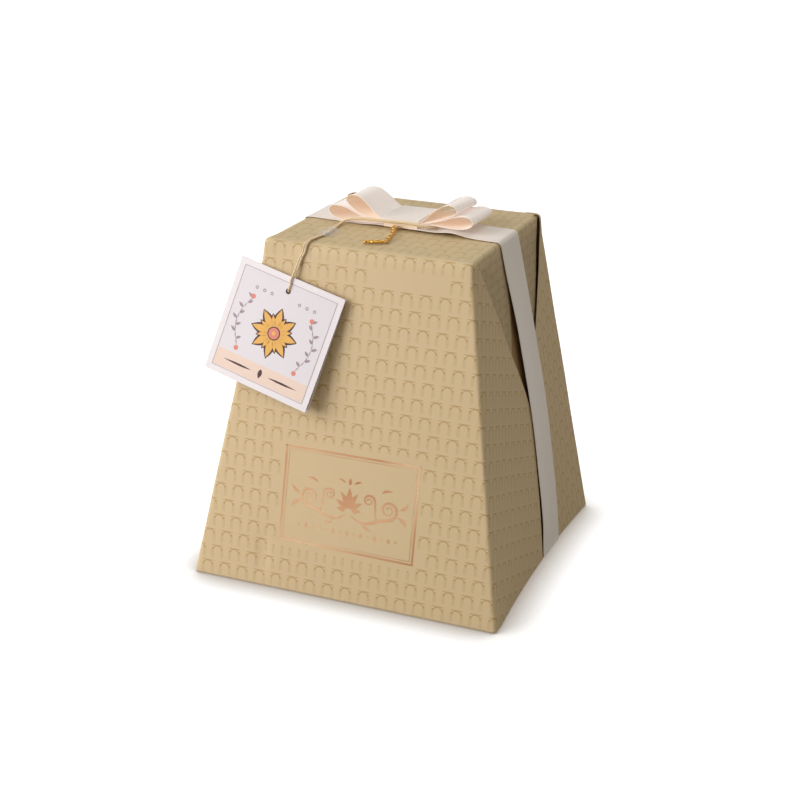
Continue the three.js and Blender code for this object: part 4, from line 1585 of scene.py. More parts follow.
    def build(self) -> None:
        """Makes the box's pieces."""
        materials = [self.finishes.paper, self.finishes.reverse]
        full = self.shape.shoulder_end
        middle, corner = self.hem
        front = Mesh()
        FacePanel(self.shape, self.front_edge, self.front_lift, lambda _: full, self.pull).add_to(front)
        self.lid(front)
        wrap = front.build("wrapping_front", materials, weld=0.03)
        thicken(wrap, self.paper_thickness, inner_slot=1)

        back = Mesh()
        hemmed = FacePanel(
            self.shape, self.back_edge, self.back_lift,
            lambda share: lerp(middle, corner, smoothstep(abs(share), 0.80, 0.90)),
            self.pull, turned=True, turn_in=20.0,
        )
        hemmed.add_to(back, paper_shift=self.back_print)
        self.base_sheet(back)
        rear = back.build("wrapping_back", materials, weld=0.03)
        thicken(rear, self.paper_thickness, inner_slot=1)

        place(wrap, "wrapping_paper", "wrapped_box")
        place(rear, "wrapping_paper", "wrapped_box")
        place(self.inner_box(), "wrapping_paper", "wrapped_box")


# ---------------------------------------------------------------- foil panel


@dataclass
class FoilPanel:
    """The stamped copper frame on the front, with a generic scroll ornament in it."""

    shape: BoxShape
    finishes: Finishes
    lift: Callable[[float, float, float], float]
    corners: FlatPath = ((-48.9, 106.0), (51.5, 106.5), (51.2, 36.1), (-50.2, 37.0))
    line_width: float = 1.35
    thin_width: float = 0.4
    thin_inset: float = 2.6
    proud: float = 0.07
    marks_at: float = -21.0  # the row of small marks, from the panel's middle
    marks_step: float = 5.2

    def on_paper(self, flat: np.ndarray) -> np.ndarray:
        """Lays a line onto the paper.

        Args:
            flat: Its points, across and up the front.

        Returns:
            Their places, just proud of the paper.
        """
        places = []
        for x, up in flat:
            level = self.shape.level(up)
            out = self.lift(x, -level.half, up) + self.proud
            places.append(self.shape.on_front(x, up, out))
        return np.array(places)

    def stroke(self, mesh: Mesh, line: np.ndarray, widths: np.ndarray | float) -> None:
        """Adds a flat stroke.

        Args:
            mesh: The mesh to add to.
            line: Its middle line, across and up the front.
            widths: Its width, or one for each point.
        """
        along = directions(line)
        side = np.stack([-along[:, 1], along[:, 0]], axis=1)
        half = np.broadcast_to(np.asarray(widths, float) / 2, (len(line),))[:, None]
        mesh.grid(np.stack([self.on_paper(line + side * half), self.on_paper(line - side * half)], axis=1))

    def rectangle(self, mesh: Mesh, inset: float, width: float) -> None:
        """Adds the four strokes of a frame.

        Args:
            mesh: The mesh to add to.
            inset: How far it is drawn in from the outer corners.
            width: The strokes' width.
        """
        centre = np.mean(self.corners, axis=0)
        corners = [np.array(c) - np.sign(np.array(c) - centre) * (inset + width / 2) for c in self.corners]
        for k in range(4):
            start, end = corners[k], corners[(k + 1) % 4]
            along = (end - start) / np.linalg.norm(end - start)
            line = np.linspace(start - along * width / 2, end + along * width / 2, 40)
            self.stroke(mesh, line, width)

    def scroll(self, mesh: Mesh, stem: FlatPath, middle: Flat, radius: float, entry: float, turns: float,
               mirror: float, heaviest: float) -> None:
        """Adds a stem that curls into a volute, anticlockwise on the right half.

        Args:
            mesh: The mesh to add to.
            stem: Points of the stem before the volute, from the panel's middle.
            middle: The volute's centre, from the panel's middle.
            radius: The volute's outer radius.
            entry: The angle in degrees at which the stem meets the volute.
            turns: How many turns it makes.
            mirror: -1 for the copy on the other side.
            heaviest: The stroke's largest width.
        """
        centre = np.mean(self.corners, axis=0)
        share = np.linspace(0, 1, 24)
        angles = math.radians(entry) + share * turns * 2 * math.pi
        radii = radius * (1 - 0.80 * share**0.85)
        curl = np.stack([middle[0] + radii * np.cos(angles), middle[1] + radii * np.sin(angles)], axis=1)
        line = evenly(spline([*stem, *curl]), 120)
        along = np.linspace(0, 1, len(line))
        widths = 0.5 + (heaviest - 0.5) * np.sin(np.pi * along**0.75) ** 1.4
        widths[-8:] = np.linspace(widths[-9], 1.5, 8)
        self.stroke(mesh, line * (mirror, 1.0) + centre, widths)

    def leaf(self, mesh: Mesh, root: Flat, tip: Flat, width: float, bend: float = 0.0,
             mirror: float = 1.0) -> None:
        """Adds a pointed leaf.

        Args:
            mesh: The mesh to add to.
            root: Where it starts, from the panel's middle.
            tip: Where it ends.
            width: Its greatest width.
            bend: How far it bends to its left, as a share of its length.
            mirror: -1 for the copy on the other side.
        """
        share = np.linspace(0, 1, 17)
        start, end = np.array(root), np.array(tip)
        left = np.array((start[1] - end[1], end[0] - start[0]))
        line = start + np.outer(share, end - start) + np.outer(4 * share * (1 - share) * bend, left)
        line[:, 0] *= mirror
        body = np.sin(np.pi * np.clip(share, 0.015, 0.985) ** 0.8)
        self.stroke(mesh, line + np.mean(self.corners, axis=0), width * body)

    def palmette(self, mesh: Mesh, foot: Flat) -> None:
        """Adds a fan of seven petals.

        Args:
            mesh: The mesh to add to.
            foot: Where they meet, from the panel's middle.
        """
        for mirror in (-1.0, 1.0):
            for angle, reach, width in ((25, 16.0, 3.7), (50, 13.0, 3.2), (76, 9.6, 2.6)):
                direction = np.array((math.sin(math.radians(angle)), math.cos(math.radians(angle))))
                root, tip = direction * 3.2 + foot, direction * reach + foot
                self.leaf(mesh, tuple(root), tuple(tip), width, bend=0.10, mirror=mirror)
        self.leaf(mesh, (foot[0], foot[1] + 3.2), (foot[0], foot[1] + 18.0), 4.4)

    def build(self) -> None:
        """Makes the foil's piece."""
        mesh = Mesh()
        self.rectangle(mesh, 0.0, self.line_width)
        self.rectangle(mesh, self.thin_inset, self.thin_width)
        self.palmette(mesh, (0.0, -6.5))
        for mirror in (-1.0, 1.0):
            stem = ((2.2, -7.6), (8.0, -11.4), (16.0, -11.0), (23.0, -8.2))
            self.scroll(mesh, stem, (29.5, 0.6), 7.0, -85, 1.7, mirror, 2.3)
            self.scroll(mesh, ((21.0, -8.0), (19.9, -3.2)), (14.8, 4.8), 4.5, 0, 1.5, mirror, 1.6)
            for root, tip, width, bend in (
                ((11.5, -12.4), (17.5, -15.8), 2.0, -0.15),
                ((36.6, -3.4), (43.0, -9.4), 2.3, 0.14),
                ((37.6, 2.2), (43.4, 7.6), 2.1, -0.14),
                ((3.4, 14.6), (9.0, 16.6), 1.5, 0.12),
                ((24.0, 11.6), (32.0, 13.6), 1.7, 0.16),
            ):
                self.leaf(mesh, root, tip, width, bend, mirror)
        self.leaf(mesh, (0.0, 13.4), (0.0, 18.4), 2.4)
        for k in range(-7, 8):
            x, size = k * self.marks_step, 3.8 if k % 2 == 0 else 1.9
            self.leaf(mesh, (x, self.marks_at - size / 2), (x, self.marks_at + size / 2), size * 0.6)
        foil = mesh.build("foil_panel", [self.finishes.foil], weld=0.001)
        place(foil, "copper_foil")


# ---------------------------------------------------------------- ribbon and bow


@dataclass
class RibbonBand:
    """The satin ribbon over the top, down both sides and under the base."""

    shape: BoxShape
    finishes: Finishes
    width: float = 40.0
    low_width: float = 37.5  # down the sides, where it cups
    thickness: float = 0.3
    left_centre: float = 9.5
    right_centre: float = 0.2
    right_width: float = 38.0  # where it goes over the right shoulder
    base_centre: float = 27.0
    # The ribbon's middle along Y down the right side, as (length up, y), from the base edge.
    right_path: FlatPath = (
        (0.0, 27.0), (33.0, 30.0), (68.0, 29.6), (110.0, 27.3), (179.0, 15.0), (246.8, 0.2),
    )
    clearance: float = 0.65  # from the paper to the ribbon's middle
    front_stand: float = 1.2  # how far its front edge stands off below the shoulder
    cupping: float = 0.10  # how far its edges stand out past its middle
    foot_bend: float = 1.4  # the radius of its bend round the base edge
    foot_gap: float = 0.45  # from the base plane up to its middle
    top_steps: int = 90
    columns: int = 16

    def lift(self, x: float, across: float) -> float:
        """Works out the ribbon's height over the top: up over the bow's underside, proud beside it.

        Args:
            x: The place along the ribbon.
            across: The share of its width, from its front edge.

        Returns:
            The height above the top face.
        """
        under_bow = 1.1 * (1 - smoothstep(abs(x), 16, 34))
        beside_bow = lerp(2.3, 0.8, across) * bell(x, 38, 11)
        return self.clearance + under_bow + beside_bow

    def drift(self, side: float, up: float) -> float:
        """Finds the ribbon's middle where it runs down a side.

        Args:
            side: 1 for the right side, -1 for the left.
            up: Length up the side.

        Returns:
            Its place along Y.
        """
        if side > 0:
            path = spline(self.right_path)
            return float(np.interp(up, path[:, 0], path[:, 1]))
        return lerp(self.base_centre, self.left_centre, (max(0.0, up) / self.shape.slope) ** 2.1)

    def side_row(self, side: float, up: float) -> list[np.ndarray]:
        """Makes one row of the ribbon on a side or round its shoulder.

        Args:
            side: 1 for the right side, -1 for the left.
            up: Length up the side.

        Returns:
            The points across the ribbon.
        """
        shape = self.shape
        level = shape.level(up)
        centre = self.drift(side, min(up, shape.slope))
        below = (1 - smoothstep(up, 175, 235)) * smoothstep(up, 0, 30)
        shoulder_width = self.right_width if side > 0 else self.width
        width = lerp(shoulder_width, self.low_width, 1 - smoothstep(up, 150, 225))
        normal = np.array((side * math.cos(level.tilt), 0, math.sin(level.tilt)))
        row = []
        for share in np.linspace(-0.5, 0.5, self.columns + 1):
            y = centre + width * share
            point = np.array((side * (level.half - shape.side_sag(y, level.z)), y, level.z))
            cup = self.cupping * (4 * share * share) + 0.10 * ripple(y, up, 5.0 * side, 34.0)
            stand = self.front_stand * below * smoothstep(-share, -0.1, 0.5)
            row.append(point + normal * (self.clearance + cup + stand))
        return row

    def foot_rows(self, side: float) -> list[list[np.ndarray]]:
        """Makes the rows round the base edge.

        Args:
            side: 1 for the right side, -1 for the left.

        Returns:
            The rows, from the side to the base.
        """
        shape, bend = self.shape, self.foot_bend
        middle_z = self.foot_gap + bend
        rows = []
        for angle in np.linspace(shape.face_angle, -math.pi / 2, 8)[1:]:
            normal = np.array((side * math.cos(angle), 0, math.sin(angle)))
            row = []
            for share in np.linspace(-0.5, 0.5, self.columns + 1):
                y = self.base_centre + self.low_width * share
                edge = shape.half_width(0) - shape.side_sag(y, 0) + self.clearance - bend
                row.append(np.array((side * edge, y, middle_z)) + normal * bend)
            rows.append(row)
        return rows

    def build(self) -> None:
        """Makes the ribbon's piece."""
        shape = self.shape
        rows: list[list[np.ndarray]] = []
        for k in range(1, self.top_steps):
            share = k / self.top_steps
            x = lerp(-shape.shoulder_x, shape.shoulder_x, share)
            centre = lerp(self.left_centre, self.right_centre, share)
            width = lerp(self.width, self.right_width, smoothstep(x, 30, 65))
            rows.append([
                shape.on_top(x, centre + width * s, self.lift(x, s + 0.5) + self.cupping * 4 * s * s)
                for s in np.linspace(-0.5, 0.5, self.columns + 1)
            ])
        lengths = np.concatenate([
            np.linspace(shape.shoulder_end, shape.shoulder_start, 17)[:-1],
            np.linspace(shape.shoulder_start, 2.0, 80),
        ])
        right = [self.side_row(1.0, up) for up in lengths]
        left = [self.side_row(-1.0, up) for up in lengths]
        rows += right + self.foot_rows(1.0) + self.foot_rows(-1.0)[::-1] + left[::-1]
        points = np.array(rows)
        along = distances(points[:, self.columns // 2])
        across = np.linspace(0, self.width, self.columns + 1)
        paper = np.stack(np.broadcast_arrays(along[:, None], across[None, :]), axis=-1)
        mesh = Mesh()
        mesh.grid(points, paper, loops=True, flip=True)
        band = mesh.build("ribbon_satin", [self.finishes.satin], weld=0.001)
        thicken(band, self.thickness, outward=0.0)
        place(band, "satin_ribbon", "ribbon_band")


@dataclass
class BowTier:
    """One pair of loops: a flattened ring of ribbon, pinched in the middle."""

    shape: BoxShape
    finishes: Finishes
    node: str
    rim: FlatPath  # the front rim, as (x, height above the top face)
    front: float = -12.3
    back: float = 27.9
    back_drop: float = 0.13
    ribbon_width: float = 40.0
    thickness: float = 0.3
    pleats: float = 2.5  # waves across the pinched middle
    steps: int = 260
    columns: int = 22

    def back_rim(self, p: np.ndarray) -> np.ndarray:
        """Moves a point of the front rim to the back rim.

        Args:
            p: The point, as x and height.

        Returns:
            The point of the back rim.
        """
        reach = smoothstep(abs(p[0]), 14, 40)
        drop = self.back_drop * reach * max(0.0, p[1] - 2)
        return np.array((p[0] + (-1.5 if p[0] < 0 else 0.8) * reach, p[1] - drop))

    def build(self) -> None:
        """Makes the tier's piece."""
        line = evenly(spline(self.rim, closed=True), self.steps, closed=True)
        far = np.array([self.back_rim(p) for p in line])
        normals = []
        for rim in (line, far):
            along = directions(rim, closed=True)
            normals.append(np.stack([along[:, 1], -along[:, 0]], axis=1))
        outer, inner, paper, depth = [], [], [], []
        for k, reach in enumerate(distances(line)):
            rows = ([], [])
            shares = np.linspace(0, 1, self.columns + 1)
            for share in shares:
                middle = line[k] + (far[k] - line[k]) * share
                normal = normals[0][k] * (1 - share) + normals[1][k] * share
                normal /= np.linalg.norm(normal)
                free = smoothstep(abs(middle[0]), 16, 30)
                wave = ripple(middle[0], share * self.ribbon_width, 4.0, 15.0)
                cup = 0.35 * free * (4 * (share - 0.5) ** 2 - 0.4) + 0.22 * free * wave
                pinched = 1 - smoothstep(abs(middle[0]), 12, 26)
                pleat = 0.16 * pinched * math.cos(share * 2 * math.pi * self.pleats)
                y = lerp(self.front, self.back, share)
                for side, half in enumerate((0.5, -0.5)):
                    x, up = middle + normal * (cup + half * self.thickness)
                    rows[side].append(self.shape.on_top(x, y, up + pleat))
            outer.append(rows[0])
            inner.append(rows[1])
            paper.append([(reach, share * self.ribbon_width) for share in shares])
            # painted warm shade and glow on the inner side, strongest under the loops' tops
            depth.append([lerp(0.15, 0.85, smoothstep(normals[0][k][1], -0.2, 0.5))] * len(shares))
        mesh = Mesh()
        outer_grid, inner_grid, paper_grid = np.array(outer), np.array(inner), np.array(paper)
        mesh.grid(outer_grid, paper_grid, loops=True)
        mesh.grid(inner_grid, paper_grid, tints=np.array(depth), loops=True, flip=True)
        for column, flip in ((0, True), (-1, False)):
            hem = np.stack([outer_grid[:, column], inner_grid[:, column]], axis=1)
            mesh.grid(hem, np.stack([paper_grid[:, column]] * 2, axis=1), tints=0.1, loops=True, flip=flip)
        loops = mesh.build(f"{self.node}_satin", [self.finishes.bow], weld=0.001, smooth_angle=60)
        place(loops, "satin_ribbon", self.node)


@dataclass
class BowWrap:
    """The strip round the bow's middle and the ribbon under it."""

    shape: BoxShape
    finishes: Finishes
    left: float = -12.5
    right: float = 12.5
    bulge: float = 2.4
    front: float = -14.0
    back: float = 29.0
    low: float = 0.75
    high: float = 6.9
    corner: float = 1.9
    thickness: float = 0.3
    steps: int = 180
    columns: int = 22

    def build(self) -> None:
        """Makes the strip's piece."""
        half_y, half_z = (self.back - self.front) / 2, (self.high - self.low) / 2
        centre_y, centre_z = (self.back + self.front) / 2, (self.high + self.low) / 2
        outline = []
        for k in range(4):
            sign_y, sign_z = (1, 1, -1, -1)[k], (-1, 1, 1, -1)[k]
            for angle in np.linspace(k - 1, k, 9) * (math.pi / 2):
                outline.append((
                    centre_y + sign_y * (half_y - self.corner) + self.corner * math.cos(angle),
                    centre_z + sign_z * (half_z - self.corner) + self.corner * math.sin(angle),
                ))
        section = evenly(np.array(outline), self.steps, closed=True)
        points, paper, tints = [], [], []
        for (y, z), length in zip(section, distances(section)):
            bow_out = self.bulge * max(0.0, 1 - ((y - centre_y) / half_y) ** 2)
            row, row_paper, row_tints = [], [], []
            for share in np.linspace(0, 1, self.columns + 1):
                x = lerp(self.left - bow_out, self.right, share)
                on_top = smoothstep(z, self.low + 2, self.high)
                pleat = 0.10 * on_top * math.cos((y - self.front) * 1.15 + 0.3 * math.sin(x / 6))
                edge = 0.12 * on_top * (2 * share - 1) ** 2
                fold = -0.9 * smoothstep(-y, 9, 14) * on_top * (2 * share - 1) ** 2
                row.append(self.shape.on_top(x, y, z + pleat + edge + fold))
                row_paper.append((x, length))
                # painted warm glow on the strip's front, below its top
                row_tints.append(0.6 * smoothstep(-y, 11, 14) * (1 - smoothstep(z, 5.0, self.high)))
            points.append(row)
            paper.append(row_paper)
            tints.append(row_tints)
        mesh = Mesh()
        mesh.grid(np.array(points), np.array(paper), tints=np.array(tints), loops=True)
        strip = mesh.build("bow_wrap_satin", [self.finishes.satin], weld=0.001)
        thicken(strip, self.thickness, outward=0.0)
        place(strip, "satin_ribbon", "bow_wrap")


# ---------------------------------------------------------------- hang tag


@dataclass
class HangTag:
    """The folded card tag, its print and its punched hole."""

    shape: BoxShape
    finishes: Finishes
    side: float = 82.3
    leaf: float = 0.45
    opening: float = 2.9
    fold: float = 1.0
    hole_radius: float = 2.0
    hole: Flat = (-0.2, 10.1)  # from the middle of the top edge: x, and down
    centre: Point = (-60.8, 183.2, 7.3)  # on the front: x, up the slope, out
    turn: float = -14.4
    lean: float = -5.5
    yaw: float = -1.9
    proud: float = 0.05  # how far each layer of ink stands above the one below
    inset: float = 4.3  # from the card's edge to the border
    line: float = 0.32  # the border's width
    margin: float = 0.6  # from the border's outer edge to the fields
    band: float = 12.5
    middle: Flat = (0.0, 41.0)  # the flower's place
    rings: int = 16
    field_points: int = 24

    def __post_init__(self) -> None:
        """Works out the tag's own frame."""
        sine, cosine = math.sin(self.shape.face_angle), math.cos(self.shape.face_angle)
        face = Matrix(((1, 0, 0), (0, sine, -cosine), (0, cosine, sine))).to_4x4()
        turned = Matrix.Rotation(math.radians(self.turn), 4, "Z")
        turned = turned @ Matrix.Rotation(math.radians(self.lean), 4, "X")
        turned = turned @ Matrix.Rotation(math.radians(self.yaw), 4, "Y")
        self.matrix = Matrix.Translation(Vector(self.shape.on_front(*self.centre))) @ face @ turned

    def at(self, x: float, down: float, out: float) -> np.ndarray:
        """Point of the tag: x from its middle line, down from its top edge, out from its front leaf."""
        return np.array(self.matrix @ Vector((x, self.side / 2 - down, out)))

    def curl(self, x: float, down: float) -> float:
        """How far a leaf bends out of its plane."""
        share = down / self.side
        return 0.35 * share**2 * (2 * x / self.side) - 0.25 * math.sin(math.pi * share)

    def leaf_grid(self, mesh: Mesh, back_leaf: bool) -> None:
        """Adds one leaf, as rings from the hole out to the edges, on both faces.

        Args:
            mesh: The mesh to add to.
            back_leaf: Whether it is the back leaf.
        """
        spread = math.tan(math.radians(self.opening))
        hole = np.array(self.hole)
        spokes = self.spokes((-self.side / 2, 0.0), (self.side / 2, self.side))
        layers = []
        for face in (0.0, 1.0):
            rows = []
            for i in range(self.rings + 1):
                share = (i / self.rings) ** 1.15
                row = []
                for direction, reach in spokes:
                    x, down = hole + direction * lerp(self.hole_radius, reach, share)
                    out = self.curl(x, down) - face * self.leaf
                    if back_leaf:
                        out -= self.leaf + max(0.0, down - self.fold) * spread
                    row.append(self.at(x, down, out))
                rows.append(row)
            layers.append(np.array(rows))
        mesh.grid(layers[0], tube=True)
        mesh.grid(layers[1], tube=True, flip=True)
        for ring, flip in ((0, True), (-1, False)):
            mesh.grid(np.array([layers[0][ring], layers[1][ring]]), tube=True, flip=flip)

    def spokes(self, low: Flat, high: Flat) -> list[tuple[np.ndarray, float]]:
        """Draws spokes from the hole to the edges of a rectangle, its corners among them.

        Args:
            low: The rectangle's corner with the lowest coordinates.
            high: The opposite corner.

        Returns:
            The direction of each spoke, and its length.
        """
        even = np.linspace(0, 2 * math.pi, 96, endpoint=False).tolist()
        exact = []
        for x in (low[0], high[0]):
            for down in (low[1], high[1]):
                exact.append(math.atan2(x - self.hole[0], self.hole[1] - down) % (2 * math.pi))
        spokes = []
        for angle in sorted(exact + [a for a in even if min(abs(a - e) for e in exact) > 0.02]):
            direction = np.array((math.sin(angle), -math.cos(angle)))
            reaches = []
            for axis in (0, 1):
                if abs(direction[axis]) > 1e-9:
                    limit = high[axis] if direction[axis] > 0 else low[axis]
                    reaches.append((limit - self.hole[axis]) / direction[axis])
            spokes.append((direction, min(reaches)))
        return spokes

    def on_card(self, flat: np.ndarray, layer: int = 1) -> np.ndarray:
        """Lays points onto the card.

        Args:
            flat: The points of the front leaf, as x and down.
            layer: How many layers of ink they are up.

        Returns:
            Their places.
        """
        return np.array([self.at(x, d, self.curl(x, d) + self.proud * layer) for x, d in flat])

    def field(self, mesh: Mesh, low: Flat, high: Flat, slot: int, layer: int = 1) -> None:
        """Adds a printed rectangle.

        Args:
            mesh: The mesh to add to.
            low: Its corner with the lowest coordinates.
            high: The opposite corner.
            slot: The ink's slot.
            layer: How many layers of ink it is up.
        """
        count = self.field_points
        xs, downs = np.meshgrid(np.linspace(low[0], high[0], count), np.linspace(low[1], high[1], count))
        places = self.on_card(np.stack([xs.ravel(), downs.ravel()], axis=1), layer)
        mesh.grid(places.reshape(count, count, 3), slot=slot, flip=True)

    def pierced_field(self, mesh: Mesh, low: Flat, high: Flat, slot: int) -> None:
        """Adds a printed rectangle that the hole goes through.

        Args:
            mesh: The mesh to add to.
            low: Its corner with the lowest coordinates.
            high: The opposite corner.
            slot: The ink's slot.
        """
        spokes = self.spokes(low, high)
        rows = []
        for share in np.linspace(0, 1, 13):
            flat = [self.hole + way * lerp(self.hole_radius, reach, share) for way, reach in spokes]
            rows.append(self.on_card(np.array(flat)))
        mesh.grid(np.array(rows), slot=slot, tube=True)

    def border(self, mesh: Mesh, slot: int) -> None:
        """Adds a printed line round the leaf.

        Args:
            mesh: The mesh to add to.
            slot: The ink's slot.
        """
        near, far, width = self.inset, self.side - self.inset, self.line
        half = self.side / 2 - near
        for low, high in (
            ((-half, near), (half, near + width)),
            ((-half, far - width), (half, far)),
            ((-half, near), (-half + width, far)),
            ((half - width, near), (half, far)),
        ):
            self.field(mesh, low, high, slot, 2)

    def blade(self, mesh: Mesh, root: Flat, tip: Flat, width: float, slot: int, layer: int = 1) -> None:
        """Adds a printed leaf shape.

        Args:
            mesh: The mesh to add to.
            root: Where it starts.
            tip: Where it ends.
            width: Its greatest width.
            slot: The ink's slot.
            layer: How many layers of ink it is up.
        """
        start, end = np.array(root), np.array(tip)
        along = (end - start) / np.linalg.norm(end - start)
        side = np.array((-along[1], along[0]))
        share = np.linspace(0.0, 1.0, 15)
        half = width / 2 * np.sin(np.pi * share ** 0.85)
        line = start + np.outer(share, end - start)
        rows = [self.on_card(line + side * half[:, None] * sign, layer) for sign in (1, 0, -1)]
        mesh.grid(np.stack(rows, axis=1), slot=slot, flip=True)

    def disc(
        self, mesh: Mesh, centre: Flat, radius: float, slot: int, layer: int, hole: float = 0.0
    ) -> None:
        """Adds a printed dot or ring.

        Args:
            mesh: The mesh to add to.
            centre: Its centre.
            radius: Its radius.
            slot: The ink's slot.
            layer: How many layers of ink it is up.
            hole: The radius of the hole in it.
        """
        angles = np.linspace(0, 2 * math.pi, 33)
        rim = np.stack([np.cos(angles), np.sin(angles)], axis=1)
        rows = [self.on_card(np.array(centre) + rim * reach, layer) for reach in (radius, hole)]
        mesh.grid(np.array(rows), slot=slot, flip=True)

    def print_(self, mesh: Mesh) -> None:
        """Adds the generic print: a border, a band, a rosette between sprigs, and small marks.

        Args:
            mesh: The mesh to add to.
        """
        lilac, mauve, peach, gold, brown, coral = (
            list(Ink).index(ink) for ink in (Ink.LILAC, Ink.MAUVE, Ink.PEACH, Ink.GOLD, Ink.BROWN, Ink.CORAL)
        )
        top = self.inset + self.margin
        half, bottom = self.side / 2 - top, self.side - top
        self.pierced_field(mesh, (-half, top), (half, bottom - self.band), lilac)
        self.field(mesh, (-half, bottom - self.band), (half, bottom), peach)
        self.border(mesh, mauve)
        centre = np.array(self.middle)
        for k in range(16):
            angle = math.pi * k / 8
            direction = np.array((math.sin(angle), -math.cos(angle)))
            reach, shadow, petal = (17.5, 7.8, 5.0) if k % 2 == 0 else (13.0, 5.6, 3.0)
            root, tip = tuple(centre + direction * 3.4), tuple(centre + direction * reach)
            self.blade(mesh, root, tuple(centre + direction * (reach + 1.0)), shadow, brown, 2)
            self.blade(mesh, root, tip, petal, gold, 3)
        for layer, (radius, ink) in enumerate(((4.8, brown), (4.0, coral), (1.5, gold)), start=4):
            self.disc(mesh, self.middle, radius, ink, layer)
        for mirror in (-1.0, 1.0):
            stem = [(mirror * (23.5 + 6.5 * math.sin(math.pi * k / 8)), 24.0 + 4.4 * k) for k in range(9)]
            for k, (x, down) in enumerate(stem[:-1]):
                self.blade(mesh, (x, down), stem[k + 1], 0.6, mauve, 3)
                reach = 4.2 if k % 2 == 0 else -3.6
                self.blade(mesh, (x, down), (x + mirror * reach, down - 2.6), 2.0, mauve, 2)
            self.disc(mesh, (stem[0][0], stem[0][1] - 1.2), 1.7, coral, 3)
            self.disc(mesh, (mirror * 23.5, 60.8), 1.7, coral, 3)
            for k in range(3):
                self.disc(mesh, (mirror * (11.0 + 6.0 * k), 16.0), 1.2, mauve, 2, hole=0.6)
            self.blade(mesh, (mirror * 7.0, 71.0), (mirror * 30.0, 71.0), 1.5, brown, 2)
        self.blade(mesh, (0.0, 67.6), (0.0, 74.4), 3.2, brown, 2)

    def build(self) -> None:
        """Makes the tag's pieces."""
        card = Mesh()
        self.leaf_grid(card, back_leaf=False)
        self.leaf_grid(card, back_leaf=True)
        tag = card.build("tag_leaves", [self.finishes.card], weld=0.001, smooth_angle=40)
        place(tag, "tag_card", "hang_tag")
        ink = Mesh()
        self.print_(ink)
        print_ = ink.build("tag_print", [colour.value.build() for colour in Ink], weld=0.0005)
        place(print_, "tag_card", "hang_tag")


# ---------------------------------------------------------------- cord, sticker


